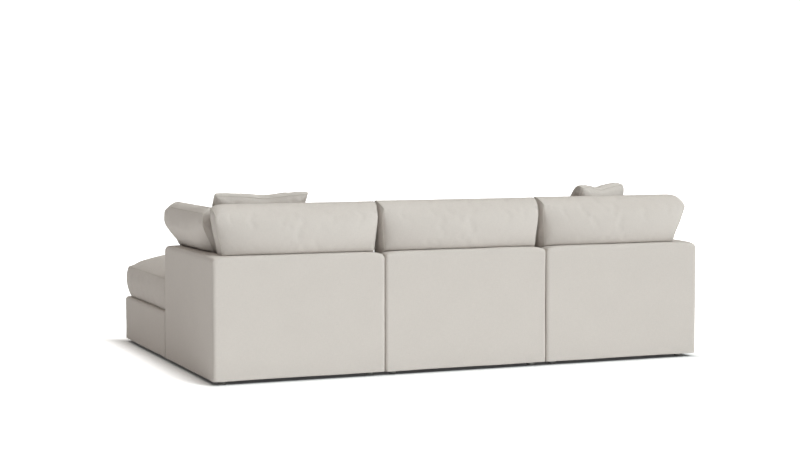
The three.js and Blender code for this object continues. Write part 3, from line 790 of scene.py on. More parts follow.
@dataclass
class Cushion:
    """A loose cushion of one module: its form, its filling and its neighbours."""

    place: ModulePlace
    piece: str
    body: str
    fill: ClothFill = ClothFill()
    firmness: float = 0.6
    seam: SeamCord = SeamCord()

    @property
    def node(self) -> str:
        """The CAD node that the cushion stands for."""
        return f"{self.place.name}_{self.piece}"

    def form(self) -> ClothForm:
        """Returns the cushion's form in the module's frame."""
        raise NotImplementedError

    def kept_clear(self, points: Array) -> Array:
        """Returns points of the module's frame kept clear of walls and neighbours."""
        return points

    def make(self, trees: PathTrees, obstacles: Sequence[bpy.types.Object] = ()) -> bpy.types.Object:
        """Builds the cushion.

        Args:
            trees: The Geometry Nodes trees.
            obstacles: Finished pieces that it must not enter.

        Returns:
            The finished cushion.
        """
        form = self.form()
        faces = form.faces[:, ::-1] if self.place.mirrored else form.faces
        obj = mesh_object(f"{self.node}_cloth", form.points, form.faces, form.flat)
        self.fill.puff(obj, form.held)
        points = self.place.to_row(self.kept_clear(vertex_places(obj.data)))
        for obstacle in obstacles:
            points = clear_of(points, surface_tree(obstacle), OBSTACLE_GAP, OBSTACLE_REACH)
        bpy.data.objects.remove(obj)
        obj = mesh_object(f"{self.node}_cloth", points, faces, form.flat)
        smoother = obj.modifiers.new("finish", "SUBSURF")
        smoother.levels = smoother.render_levels = 1
        apply_modifiers(obj)
        dress(obj, self.body, LINEN)
        self.seam.sew(trees, obj, form, self.body)
        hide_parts(self.node)
        return obj


@dataclass
class SeatCushion(Cushion):
    """A seat cushion or the ottoman's, with a deep crown that other cushions press down."""

    xs: tuple[float, float] = (0.0, 0.0)
    ys: tuple[float, float] = (0.0, 0.0)
    pressed_rear: float = 0.0
    pressed_side: float = 0.0
    seam_height: float = 0.440
    crown: float = 0.110
    pressed_crown: float = 0.038
    draw_in: float = 0.006
    bulge: float = 0.014
    ear: float = 0.004
    tuck: float = 0.012
    power: float = 0.58
    cells: int = 54
    bands: int = 12

    def plan_point(self, u: Array, v: Array, t: Array) -> tuple[Array, Array]:
        """Returns x and y of the plan at the shares u and v, and t up the strip."""
        half_width = (self.xs[1] - self.xs[0]) / 2 - self.bulge
        half_length = (self.ys[1] - self.ys[0]) / 2 - self.bulge
        swell = self.bulge * np.sin(np.pi * t)
        tuck = self.tuck * (1 - t) ** 2
        x = u * (half_width - self.draw_in * (1 - v * v) - self.ear * v**8 - tuck) + swell * on_rim(u)
        y = v * (half_length - self.draw_in * (1 - u * u) - self.ear * u**8 - tuck) + swell * on_rim(v)
        return x, y

    def top_swell(self, u: Array, v: Array) -> Array:
        """Returns how high the top stands over its seam."""
        side = 1 - self.pressed_side / ((self.xs[1] - self.xs[0]) / 2 - self.bulge)
        rear = 1 - self.pressed_rear / ((self.ys[1] - self.ys[0]) / 2 - self.bulge)
        whole = self.crown * fullness(u, self.power) * fullness(v, self.power)
        free = fullness(free_share(u, side), self.power) * fullness(free_share(v, rear), self.power)
        return np.minimum(whole, self.pressed_crown + (self.crown - self.pressed_crown) * free)

    def form(self) -> ClothForm:
        """Returns the cushion's form in the module's frame."""
        height = self.seam_height - PLAN.seat_base

        def at(u: Array, v: Array, t: Array) -> Array:
            """Returns a point of the boxing at shares across, up and through it."""
            x, y = self.plan_point(u, v, t)
            return np.stack([x, y, height * t], axis=1)

        shares = sewn_shares(self.cells)
        form = Boxing(at, no_swell, self.top_swell, shares, shares, self.bands).sew()
        middle = (sum(self.xs) / 2, sum(self.ys) / 2, PLAN.seat_base)
        form.points += middle
        panel = len(shares) ** 2
        form.held[:panel] = 1.0
        top = slice(panel, 2 * panel)
        pressed_y = form.points[top, 1] > self.ys[1] - self.pressed_rear - HELD_MARGIN
        pressed_x = form.points[top, 0] > self.xs[1] - self.pressed_side - HELD_MARGIN
        pressed = (pressed_y & (self.pressed_rear > 0)) | (pressed_x & (self.pressed_side > 0))
        form.held[top] = np.where(pressed, 1.0, 0.0)
        for seam, _ in form.seams:
            form.held[seam] = 1.0
        return form

    def kept_clear(self, points: Array) -> Array:
        """Returns points kept inside the seat's own room."""
        low = (self.xs[0], self.ys[0], PLAN.seat_base)
        high = (self.xs[1], self.ys[1], np.inf)
        return np.clip(points, low, high)


def wall_skin(depth: Array) -> Array:
    """Returns the height of a wall's top at a distance in from its outer face."""
    inner = PLAN.wall - depth
    inset = np.clip(1 - np.minimum(inner, depth) / PLAN.edge_radius, 0.0, 1.0)
    across = 2 * depth / PLAN.wall - 1
    crown = PLAN.wall_crown * np.maximum(0.0, 1 - across**6)
    return PLAN.wall_top - PLAN.top_radius * (1 - np.sqrt(1 - inset**2)) + crown


def clear_of_wall(depth: Array, height: Array) -> tuple[Array, Array]:
    """Moves points out of a wall, up or inwards, whichever is nearer.

    Args:
        depth: Distance of each point in from the wall's outer face.
        height: Height of each point above the floor.

    Returns:
        The new distances and heights.
    """
    inner = PLAN.wall + PLAN.touch
    skin = wall_skin(np.clip(depth, 0.0, PLAN.wall)) + PLAN.touch
    inside = (depth < inner) & (height < skin)
    upward = inside & (skin - height <= inner - depth)
    inward = inside & ~upward
    return np.where(inward, inner, depth), np.where(upward, skin, height)


@dataclass
class StandingCushion(Cushion):
    """A back or side cushion that stands on the seat and leans over a wall."""

    fill: ClothFill = ClothFill(cap=0.008, spare_cloth=0.008)
    length: float = 0.0
    seam_height: float = 0.885
    seam_drop: float = 0.038
    end_insets: tuple[float, float] = (0.0, 0.0)
    end_bulge: float = 0.004
    top_bulge: float = 0.004
    boxing: float = 0.095
    rear_swell: float = 0.067
    front_swell: float = 0.118
    end_tapers: tuple[float, float] = (0.046, 0.024)
    front_tapers: tuple[float, float] = (0.0, 0.0)
    taper_power: float = 1.0
    peak: float = 0.45
    low: float = -0.42
    panel_power: float = 0.5
    panel_top_power: float = 1.0
    alongs: tuple[float, float] = (0.42, 0.50)
    wall_press: float = 0.0
    rear_curl: float = 0.0
    curl_power: float = 6.0
    end_room: float = 0.0
    pressed: float = 0.0
    ear: float = 0.016
    top_ears: tuple[float, float] = (0.010, 0.016)
    top_drops: tuple[float, float] = (0.006, 0.004)
    corner_fades: tuple[float, float] = (2.0, 2.0)
    top_cord: bool = False
    ear_power: float = 6.0
    drop_power: float = 24.0
    swell_power: float = 0.4
    press_peak: float = -0.45
    press_reach: float = 0.75
    press_power: float = 1.5
    cells_along: int = 60
    cells_up: int = 34
    bands: int = 8

    def rear_fullness(self, v: Array) -> Array:
        """Returns how full the rear panel is at a height share."""
        above = fullness(np.clip((v - self.peak) / (1 - self.peak), 0.0, 1.0), self.panel_top_power)
        below = fullness(np.clip((self.peak - v) / (self.peak - self.low), 0.0, 1.0), self.panel_power)
        return above * below

    def press(self, v: Array) -> Array:
        """Returns how far the wall's top presses the rear panel in, as a share."""
        return fullness(np.minimum(1.0, np.abs(v - self.press_peak) / self.press_reach), self.press_power)

    def standing_form(self) -> ClothForm:
        """Returns the form with its rear seam in the XZ plane and its rear panel towards +Y."""
        half_length = self.length / 2
        half_height = (self.seam_height - PLAN.foot) / 2
        edge = 1 - self.pressed / half_length

        def at_end(u: Array, values: tuple[float, float]) -> Array:
            """Returns the first value at the low end and the second at the high end."""
            return np.where(u < 0, values[0], values[1])

        def at(u: Array, v: Array, t: Array) -> Array:
            """Returns a point of the boxing at shares across, up and through it."""
            fade = (1 - t) ** at_end(u, self.corner_fades)
            ear = np.where(v > 0, at_end(u, self.top_ears) * fade, self.ear) * np.abs(v) ** self.ear_power
            share = np.maximum((1 - v) / 2, 0.0) ** self.taper_power
            taper = (at_end(u, self.end_tapers) * (1 - t) + at_end(u, self.front_tapers) * t) * share
            taper = taper + ear + at_end(u, self.end_insets)
            drop = at_end(u, self.top_drops) * np.abs(u) ** self.drop_power * fade * np.clip(2 * v, 0, 1)
            drop = drop + self.seam_drop * (1 - t) ** 2 * np.maximum((1 + v) / 2, 0.0) ** 2
            rise = np.where(on_rim(v) > 0, self.top_bulge * np.sin(np.pi * t), 0.0)
            x = u * (half_length - self.end_bulge - taper) + self.end_bulge * np.sin(np.pi * t) * on_rim(u)
            curl = self.rear_curl * np.maximum(-u, 0.0) ** self.curl_power
            flat = 1 - fullness(free_share(-u, edge), self.swell_power)
            room = self.end_room * self.press(v) * flat
            z = (self.boxing + room) * t + (self.wall_press * self.press(v) + curl) * (1 - t)
            return np.stack([x, half_height * (1 + v) - drop + rise, z], axis=1)

        def rear(u: Array, v: Array) -> Array:
            """Returns how far the rear panel swells."""
            along = np.where(u < 0, fullness(u, self.alongs[0]), fullness(u, self.alongs[1]))
            return self.rear_swell * along * self.rear_fullness(v)

        def front(u: Array, v: Array) -> Array:
            """Returns how far the front panel swells."""
            along = fullness(free_share(-u, edge), self.swell_power)
            return self.front_swell * along * fullness(v, self.swell_power)

        along, up = sewn_shares(self.cells_along), sewn_shares(self.cells_up)
        form = Boxing(at, rear, front, along, up, self.bands).sew()
        x, y, z = form.points.T
        form.points = np.stack([x, -z, y + PLAN.foot], axis=1)
        form.flat = form.points.copy()
        foot = form.points[:, 2] < PLAN.foot + HELD_FOOT
        form.held[foot] = 1.0
        for seam, _ in form.seams:
            form.held[seam] = 1.0
        if not self.top_cord:
            rear_seam = form.seams[0][0]
            left_top = rear_seam.index(form.seams[5][0][0])
            right_top = rear_seam.index(form.seams[4][0][0])
            form.seams[0] = (rear_seam[left_top:] + rear_seam[: right_top + 1], False)
        return form


@dataclass
class BackCushion(StandingCushion):
    """A back cushion, whose rear panel bulges over the back wall."""

    rear_seam: float = 0.075

    def form(self) -> ClothForm:
        """Returns the cushion's form in the module's frame."""
        form = self.standing_form()
        form.points += (0.0, -self.rear_seam, 0.0)
        in_wall = form.points[:, 1] > -PLAN.wall - HELD_MARGIN
        form.held[in_wall & (form.points[:, 2] < PLAN.wall_top + HELD_MARGIN)] = 1.0
        return form

    def kept_clear(self, points: Array) -> Array:
        """Returns points kept off the back wall and inside the module's width."""
        x, y, z = points.T
        depth, height = clear_of_wall(-y, np.maximum(z, PLAN.foot))
        limit = self.place.half - PLAN.touch
        return np.stack([np.clip(x, -limit, limit), -depth, height], axis=1)


@dataclass
class SideCushion(StandingCushion):
    """A side cushion, whose rear end gives way to the back cushion."""

    outer_seam: float = 0.027
    rear: float = 0.160
    front: float = 0.935
    back: BackCushion | None = None
    give: float = 0.30

    def back_limit(self, x: Array) -> Array:
        """Returns the furthest y towards the rear that the back cushion leaves at x."""
        assert self.back is not None
        share = np.clip(x / (self.back.length / 2), -1.0, 1.0)
        swell = self.back.front_swell * fullness(share, self.back.swell_power)
        return -(self.back.rear_seam + self.back.boxing + swell) - PLAN.lift_gap

    def give_way(self, points: Array) -> Array:
        """Returns points with the rear end drawn forward to clear the back cushion."""
        x, y, z = points.T
        start = -self.rear - self.give
        room = np.clip((self.back_limit(x) - start) / (-self.rear - start), 0.0, 1.0)
        return np.stack([x, np.where(y > start, start + (y - start) * room, y), z], axis=1)

    def form(self) -> ClothForm:
        """Returns the cushion's form in the module's frame."""
        form = self.standing_form()
        x, y, z = form.points.T
        middle = -(self.rear + self.front) / 2
        turned = np.stack([y + self.place.half - self.outer_seam, middle - x, z], axis=1)
        form.points = self.give_way(turned)
        in_wall = form.points[:, 0] > self.place.half - PLAN.wall - HELD_MARGIN
        form.held[in_wall & (form.points[:, 2] < PLAN.wall_top + HELD_MARGIN)] = 1.0
        return form

    def kept_clear(self, points: Array) -> Array:
        """Returns points kept off the side wall and the back cushion."""
        x, y, z = points.T
        depth, height = clear_of_wall(self.place.half - x, np.maximum(z, PLAN.foot))
        x = self.place.half - depth
        return np.stack([x, np.minimum(y, self.back_limit(x)), height], axis=1)


@dataclass
class ThrowPillow(Cushion):
    """A square throw pillow that leans on the back cushion."""

    foot: tuple[float, float, float] = (0.0, 0.0, 0.0)
    lean: float = 39.0
    turn: float = 0.0
    side: float = 0.490
    boxing: float = 0.026
    swell: float = 0.062
    draw_in: float = 0.010
    bulge: float = 0.007
    ear: float = 0.004
    power: float = 0.36
    bend: float = 0.0
    bend_start: float = 0.30
    dent: float = 0.014
    dent_share: float = 0.34
    dent_place: float = -0.1
    cells: int = 44
    bands: int = 4

    def form(self) -> ClothForm:
        """Returns the pillow's form in the module's frame."""
        half = self.side / 2

        def at(u: Array, v: Array, t: Array) -> Array:
            """Returns a point of the boxing at shares across, up and through it."""
            swell = self.bulge * np.sin(np.pi * t)
            x = u * (half - self.draw_in * (1 - v * v) - self.ear * v**8) + swell * on_rim(u)
            y = v * (half - self.draw_in * (1 - u * u) - self.ear * u**8) + swell * on_rim(v)
            across = (u - self.dent_place) / self.dent_share
            dent = self.dent * np.exp(-across * across) * ((1 + v) / 2) ** 2
            return np.stack([x, y - dent, self.boxing * (t - 0.5)], axis=1)

        def swell(u: Array, v: Array) -> Array:
            """Returns how far each panel swells."""
            return self.swell * fullness(u, self.power) * fullness(v, self.power)

        shares = sewn_shares(self.cells)
        form = Boxing(at, swell, swell, shares, shares, self.bands).sew()
        for seam, _ in form.seams:
            form.held[seam] = 1.0
        x, y, z = form.points.T
        upright = self.bent(np.stack([x, -z, y + half], axis=1))
        lean, turn = math.radians(-self.lean), math.radians(self.turn)
        about_x = np.array([
            [1, 0, 0], [0, math.cos(lean), -math.sin(lean)], [0, math.sin(lean), math.cos(lean)],
        ])
        about_z = np.array([
            [math.cos(turn), -math.sin(turn), 0], [math.sin(turn), math.cos(turn), 0], [0, 0, 1],
        ])
        form.points = upright @ (about_z @ about_x).T + self.foot
        return form

    def bent(self, points: Array) -> Array:
        """Returns points of the upright pillow with its top bent forward."""
        x, y, z = points.T
        reach = self.side - self.bend_start
        share = np.clip((z - self.bend_start) / reach, 0.0, None)
        angle = np.radians(self.bend) * share
        steps = np.linspace(0.0, 1.2, 61)
        turned = np.radians(self.bend) * steps
        forward = reach * np.cumsum(np.sin(turned)) * steps[1]
        upward = reach * np.cumsum(np.cos(turned)) * steps[1] - reach * steps[1]
        middle_y = -np.interp(share, steps, forward)
        middle_z = self.bend_start + np.interp(share, steps, upward)
        bent = np.stack([x, middle_y + y * np.cos(angle), middle_z + y * np.sin(angle)], axis=1)
        return np.where((share > 0)[:, None], bent, points)


# Covers

SHOULDER_REACH = 0.045
SHOULDER_FALL = 0.010
STATION_SPACING = 0.03
QUAD_CORNERS = ((0, 0), (1, 0), (1, 1), (0, 1))
RELAX_STEPS = (0.5, -0.52)
RIPPLE_WAVES = 4
RIPPLE_CONTRAST = 2.2


def arc_stations(low: float, high: float, radius: float, spacing: float, round_low: bool) -> Array:
    """Returns stations along an edge, closer together where its ends are round.

    Args:
        low: Lower end.
        high: Upper end.
        radius: Radius of the round ends.
        spacing: Distance between stations on the flat.
        round_low: Whether the lower end is round too.

    Returns:
        The stations in rising order.
    """
    steps = np.tan(np.linspace(math.pi / 4, 0.0, 5))
    top = high - radius * (1 - steps[::-1])
    bottom = low + radius * (1 - steps) if round_low else np.array([low])
    count = max(2, int((high - low) / spacing))
    flat = np.linspace(bottom[-1], top[0], count + 1)[1:-1]
    return np.concatenate([bottom, flat, top])


def padded_block(
    xs: Sequence[float], ys: Sequence[float], zs: Sequence[float], crown: float
) -> tuple[Array, Array]:
    """Builds a block with round upright edges and a round, swelling top.

    Args:
        xs: Ends along x.
        ys: Ends along y.
        zs: Ends along z.
        crown: How far the top swells.

    Returns:
        Points and four-cornered faces of the closed block.
    """
    radii = np.array([PLAN.edge_radius, PLAN.edge_radius, PLAN.top_radius])
    stations = [
        arc_stations(*ends, radius, STATION_SPACING, round_low)
        for ends, radius, round_low in zip((xs, ys, zs), radii, (True, True, False))
    ]
    low = np.array([xs[0] + radii[0], ys[0] + radii[1], zs[0]])
    high = np.array([xs[1], ys[1], zs[1]]) - radii
    points: dict[tuple[float, float, float], int] = {}
    faces = []

    def index_of(axis: int, side: float, a: float, b: float) -> int:
        """Returns the index of the vertex at a place on one of the block's sides."""
        key = [0.0, 0.0, 0.0]
        key[axis], key[(axis + 1) % 3], key[(axis + 2) % 3] = side, a, b
        return points.setdefault(tuple(round(float(value), 6) for value in key), len(points))

    for axis in range(3):
        along, up = stations[(axis + 1) % 3], stations[(axis + 2) % 3]
        for side, turned in ((stations[axis][0], True), (stations[axis][-1], False)):
            for i in range(len(along) - 1):
                for j in range(len(up) - 1):
                    corners = [index_of(axis, side, along[i + a], up[j + b]) for a, b in QUAD_CORNERS]
                    faces.append(corners[::-1] if turned else corners)
    places = np.array(list(points))
    core = np.clip(places, low, high)
    outward = (places - core) / radii
    size = np.linalg.norm(outward, axis=1, keepdims=True)
    rounded = core + np.where(size > 0, outward / np.maximum(size, 1e-9), 0.0) * radii
    u = (2 * places[:, 0] - xs[0] - xs[1]) / (xs[1] - xs[0])
    v = (2 * places[:, 1] - ys[0] - ys[1]) / (ys[1] - ys[0])
    on_top = places[:, 2] >= high[2] - 1e-6
    rounded[:, 2] += np.where(on_top, crown * (1 - u**6) * (1 - v**6), 0.0)
    if crown > 0:
        near_x = np.minimum(places[:, 0] - xs[0], xs[1] - places[:, 0])
        near_y = np.minimum(places[:, 1] - ys[0], ys[1] - places[:, 1])
        along = near_x if xs[1] - xs[0] > ys[1] - ys[0] else near_y
        fall = np.clip(1 - along / SHOULDER_REACH, 0.0, 1.0) ** 2
        rise = np.clip((places[:, 2] - zs[1] + 2 * SHOULDER_REACH) / (2 * SHOULDER_REACH), 0.0, 1.0)
        rounded[:, 2] -= SHOULDER_FALL * fall * rise
    return rounded, np.array(faces)


def relax(places: Array, edges: Array, rounds: int) -> Array:
    """Evens out a mesh by moving each vertex towards its neighbours.

    Args:
        places: Places of the vertices.
        edges: Vertices of each edge.
        rounds: How often they are moved.

    Returns:
        The new places.
    """
    count = np.zeros(len(places))
    np.add.at(count, edges.ravel(), 1.0)
    for step in range(2 * rounds):
        total = np.zeros_like(places)
        np.add.at(total, edges[:, 0], places[edges[:, 1]])
        np.add.at(total, edges[:, 1], places[edges[:, 0]])
        places = places + RELAX_STEPS[step % 2] * (total / count[:, None] - places)
    return places


def ripple(places: Array, lengths: Sequence[float], seed: int) -> Array:
    """Returns a smooth uneven value between 0 and 1 for each place.

    Args:
        places: The places.
        lengths: Wave lengths in metres, the longest first.
        seed: Seed of the waves' directions.
    """
    chance = np.random.default_rng(seed)
    total = np.zeros(len(places))
    weight_sum = 0.0
    for length in lengths:
        for _ in range(RIPPLE_WAVES):
            direction = chance.normal(size=3)
            direction /= np.linalg.norm(direction)
            phase = chance.uniform(0, 2 * math.pi)
            total += length * np.sin(places @ direction * 2 * math.pi / length + phase)
            weight_sum += length
    return 0.5 + 0.5 * np.clip(RIPPLE_CONTRAST * total / weight_sum, -1, 1)


@dataclass
class UpholsteredCover:
    """The fabric over one module's base and walls."""

    place: ModulePlace
    voxel: float = 0.009
    cloth: float = 0.004
    slack: float = 0.0022
    hem_wave: float = 0.0012
    hem_reach: float = 0.05
    side_proud: float = 0.0

    def blocks(self) -> list[tuple[Array, Array]]:
        """Returns the padded blocks of the base and the walls, down to the floor."""
        half, depth = self.place.half, self.place.depth
        wall = ((0.0, PLAN.wall_top), PLAN.wall_crown)
        made = [padded_block((-half, half), (-depth, 0.0), (0.0, PLAN.deck), 0.0)]
        if self.place.back_wall:
            made.append(padded_block((-half, half), (-PLAN.wall, 0.0), *wall))
        if self.place.side_wall:
            made.append(padded_block((half - PLAN.wall, half), (-depth, 0.0), *wall))
        return made

    def stretched(self, places: Array, normals: Array) -> Array:
        """Returns the skin with the slack of stretched cloth, drawn in and never out."""
        seed = sum(ord(letter) for letter in self.place.name)
        slack = ripple(places, (0.55, 0.28, 0.13), seed)
        drawn = places - normals * (self.slack * slack)[:, None]
        drawn[:, 0] += self.side_proud * np.clip((places[:, 0] - self.place.half) / PLAN.wall + 1, 0.0, 1.0)
        return drawn

    def make(self) -> bpy.types.Object:
        """Builds the cover and returns it."""
        node = f"{self.place.name}_cover"
        obj = mesh_object(f"{node}_cloth", *joined(self.blocks()))
        remesh = obj.modifiers.new("join", "REMESH")
        remesh.mode = "VOXEL"
        remesh.voxel_size = self.voxel
        apply_modifiers(obj)
        mesh = obj.data
        edges = np.empty(len(mesh.edges) * 2, dtype=int)
        mesh.edges.foreach_get("vertices", edges)
        places = relax(vertex_places(mesh), edges.reshape(-1, 2), 3)
        place_vertices(mesh, places)
        normals = np.empty(len(mesh.vertices) * 3)
        mesh.vertices.foreach_get("normal", normals)
        place_vertices(mesh, self.stretched(places, normals.reshape(-1, 3)))
        self.cut_hem(mesh)
        self.finish(obj)
        dress(obj, self.place.name, LINEN)
        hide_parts(node)
        return obj

    def cut_hem(self, mesh: bpy.types.Mesh) -> None:
        """Cuts the skin off at the hem and lets the hem wave a little."""
        shell = bmesh.new()
        shell.from_mesh(mesh)
        bmesh.ops.bisect_plane(
            shell, geom=shell.verts[:] + shell.edges[:] + shell.faces[:], dist=1e-6,
            plane_co=(0, 0, PLAN.hem), plane_no=(0, 0, -1), clear_outer=True,
        )
        shell.to_mesh(mesh)
        shell.free()
        places = vertex_places(mesh)
        wave = ripple(places * (1.0, 1.0, 0.0), (0.5, 0.21), 5) * 2 - 1
        near = np.clip(1 - (places[:, 2] - PLAN.hem) / self.hem_reach, 0.0, 1.0)
        places[:, 2] += self.hem_wave * wave * near
        place_vertices(mesh, places)

    def finish(self, obj: bpy.types.Object) -> None:
        """Moves the cover to its place and gives the cloth its thickness and its weave."""
        flat = vertex_places(obj.data)
        place_vertices(obj.data, self.place.to_row(flat))
        if self.place.mirrored:
            obj.data.flip_normals()
        thick = obj.modifiers.new("cloth", "SOLIDIFY")
        thick.thickness = self.cloth
        thick.offset = -1.0
        apply_modifiers(obj)
        mesh = obj.data
        mesh.polygons.foreach_set("use_smooth", np.ones(len(mesh.polygons), dtype=bool))
        layer = mesh.uv_layers.new(name=UV_NAME)
        loops = np.empty(len(mesh.loops), dtype=int)
        mesh.loops.foreach_get("vertex_index", loops)
        totals = np.empty(len(mesh.polygons), dtype=int)
        mesh.polygons.foreach_get("loop_total", totals)
        normals = np.empty(len(mesh.polygons) * 3)
        mesh.polygons.foreach_get("normal", normals)
        axis = np.repeat(np.abs(normals.reshape(-1, 3)).argmax(axis=1), totals)
        corner = vertex_places(mesh)[loops]
        u = np.where(axis == 0, corner[:, 1], corner[:, 0])
        v = np.where(axis == 2, corner[:, 1], corner[:, 2])
        layer.data.foreach_set("uv", np.stack([u, v], axis=1).ravel())


# Undersides and hidden pieces


@dataclass
class Underside:
    """The dust cover, its staples, the webbing and the deck pad of one module."""

    place: ModulePlace
    sheet_height: float = 0.0253
    sheet_thickness: float = 0.0008
    sheet_cells: int = 24
    sag: float = 0.0006
    staple: tuple[float, float, float] = (0.0006, 0.0005, 0.010)
    staple_step: float = 0.042
    staple_inset: float = 0.012
    strap_width: float = 0.070
    strap_thickness: float = 0.0018
    strap_count: int = 4
    strap_cells: int = 72
    pad_cells: int = 32
    pad_bands: int = 4
    pad_edge: float = 0.005
    dimples: float = 0.0015

    def node_box(self, piece: str) -> tuple[Array, Array]:
        """Returns the lowest and highest corner of one of the module's nodes."""
        low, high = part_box(f"{self.place.name}_{piece}")
        return np.array(low), np.array(high)

    def dust_cover(self, trees: PathTrees) -> None:
        """Builds the black cloth under the frame and its staples."""
        low, high = self.node_box("dust_cover")
        shares = np.linspace(-1.0, 1.0, self.sheet_cells + 1)
        v, u = np.meshgrid(shares, shares, indexing="ij")
        middle, reach = (low + high) / 2, (high - low) / 2
        x = middle[0] + u.ravel() * reach[0]
        y = middle[1] + v.ravel() * reach[1]
        sag = self.sag * ((1 - u**4) * (1 - v**4)).ravel()
        top = np.stack([x, y, self.sheet_height - sag + self.sheet_thickness / 2], axis=1)
        bottom = top - (0.0, 0.0, self.sheet_thickness)
        quads, rim = grid_faces(len(shares), len(shares))
        count = len(top)
        faces = np.concatenate([quads, quads[:, ::-1] + count, strip_faces(rim + count, rim)])
        points = np.concatenate([top, bottom])
        obj = mesh_object(f"{self.place.name}_dust_cloth", points, faces, points)
        dress(obj, self.place.name, LINING)
        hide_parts(f"{self.place.name}_dust_cover")
        self.staples(trees, middle, reach)

    def staples(self, trees: PathTrees, middle: Array, reach: Array) -> None:
        """Sets a row of staples round the dust cover."""
        height = self.sheet_height - self.sheet_thickness / 2 - self.staple[0] / 4
        x, y = reach[0] - self.staple_inset, reach[1] - self.staple_inset
        corners = [(-x, -y), (x, -y), (x, y), (-x, y)]
        path = np.array([(middle[0] + a, middle[1] + b, height) for a, b in corners])
        obj = trees.lines(f"{self.place.name}_staples", [(path, True)])
        trees.run(obj, trees.staples, {
            "Size": self.staple, "Step": self.staple_step, "Material": FINISHES.of(STEEL),
        })
        dress(obj, self.place.name, STEEL)

    def strap(
        self, start: float, end: float, across: float, crossings: Array, over: Array
    ) -> tuple[Array, Array]:
        """Builds one strap along x that goes over and under the straps that it crosses.

        Args:
            start: Where it starts along x.
            end: Where it ends along x.
            across: Where its middle lies along y.
            crossings: Where the straps that it crosses lie along x.
            over: 1 for each strap that it passes over, and 0 for each other.

        Returns:
            Its points and faces.
        """
        stations = np.linspace(start, end, self.strap_cells + 1)
        nearest = np.abs(stations[:, None] - crossings[None, :])
        pitch = crossings[1] - crossings[0]
        weights = np.clip(1 - nearest / pitch, 0.0, 1.0)
        weights /= np.maximum(weights.sum(axis=1, keepdims=True), 1e-9)
        share = weights @ over
        rise = self.strap_thickness * (share * share * (3 - 2 * share))
        half = self.strap_width / 2
        offsets = [(-half, 0.0), (half, 0.0), (half, self.strap_thickness), (-half, self.strap_thickness)]
        rings = [
            np.stack([stations, np.full_like(stations, across + y), rise + z], axis=1) for y, z in offsets
        ]
        points = np.concatenate(rings)
        count = len(stations)
        first = np.arange(count - 1)
        faces = []
        for a, b in ((1, 0), (2, 1), (3, 2), (0, 3)):
            near, far = a * count + first, b * count + first
            faces.append(np.stack([near, near + 1, far + 1, far], axis=1))
        last = count - 1
        faces.append(np.array([
            [0, 3 * count, 2 * count, count], [last, count + last, 2 * count + last, 3 * count + last],
        ]))
        return points, np.concatenate(faces)[:, ::-1]

    def webbing(self) -> None:
        """Builds the interlaced straps under the deck."""
        low, high = self.node_box("webbing")
        shares = (np.arange(self.strap_count) + 0.5) / self.strap_count
        xs, ys = low[0] + (high[0] - low[0]) * shares, low[1] + (high[1] - low[1]) * shares
        straps = []
        for row, y in enumerate(ys):
            over = (np.arange(self.strap_count) + row) % 2 == 1
            points, faces = self.strap(low[0], high[0], y, xs, over.astype(float))
            straps.append((points + (0.0, 0.0, low[2]), faces))
        for column, x in enumerate(xs):
            over = (np.arange(self.strap_count) + column) % 2 == 0
            points, faces = self.strap(low[1], high[1], -x, ys, over.astype(float))
            straps.append((np.stack([-points[:, 1], points[:, 0], points[:, 2] + low[2]], axis=1), faces))
        places, sides = joined(straps)
        obj = mesh_object(f"{self.place.name}_straps", places, sides, places)
        dress(obj, self.place.name, JUTE)
        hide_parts(f"{self.place.name}_webbing")

    def deck_pad(self) -> None:
        """Builds the soft pad over the webbing."""
        low, high = self.node_box("deck_pad")
        obj = mesh_object(f"{self.place.name}_deck_wadding", *self.pad_block(low, high))
        mesh = obj.data
        places = vertex_places(mesh)
        dimple = ripple(places, (0.2, 0.09), 11)
        places[:, 2] -= np.where(places[:, 2] > (low[2] + high[2]) / 2, self.dimples * dimple, 0.0)
        place_vertices(mesh, places)
        dress(obj, self.place.name, WADDING)
        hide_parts(f"{self.place.name}_deck_pad")

    def pad_block(self, low: Array, high: Array) -> tuple[Array, Array, Array]:
        """Returns points, faces and weave places of a thin pad with a soft edge."""
        shares = np.linspace(-1.0, 1.0, self.pad_cells + 1)
        middle, reach = (low + high) / 2, (high - low) / 2

        def at(u: Array, v: Array, t: Array) -> Array:
            """Returns a point of the boxing at shares across, up and through it."""
            inset = self.pad_edge * (2 * t - 1) ** 2
            x = middle[0] + u * (reach[0] - inset)
            y = middle[1] + v * (reach[1] - inset)
            return np.stack([x, y, low[2] + (high[2] - low[2]) * t], axis=1)

        form = Boxing(at, no_swell, no_swell, shares, shares, self.pad_bands).sew()
        return form.points, form.faces, form.points

    def make(self, trees: PathTrees) -> None:
        """Builds the pieces."""
        self.dust_cover(trees)
        self.webbing()
        self.deck_pad()


class HardParts:
    """The CAD nodes that keep their own shape."""

    FINISH_OF = {"frame": PINE, "tongue": STEEL, "socket": STEEL}

    def dress(self, nodes: dict[str, bpy.types.Object]) -> None:
        """Gives each carried-over node its finish.

        Args:
            nodes: The CAD nodes by name.
        """
        for name, obj in nodes.items():
            finish = self.FINISH_OF.get(name.rsplit("_", 1)[-1])
            if "_glide_" in name:
                finish = MOULDED
            if finish is not None:
                material = FINISHES.of(finish)
                if not obj.data.materials:
                    obj.data.materials.append(material)
                for slot in obj.material_slots:
                    slot.material = material
                LOG.info("%s keeps its CAD shape", name)


# Studio


@dataclass(frozen=True)
class SoftLight:
    """A broad, soft light from far away."""

    name: str
    strength: float
    angle: float
    comes_from: tuple[float, float, float]
    colour: tuple[float, float, float] = (1.0, 1.0, 1.0)


MAIN_LIGHT = SoftLight("main_light", 2.53, 35.0, (-0.46, 0.58, 0.60), (0.94, 1.0, 1.0))
TOP_LIGHT = SoftLight("top_light", 1.27, 70.0, (0.19, -0.17, 0.97), (1.0, 0.96, 0.90))


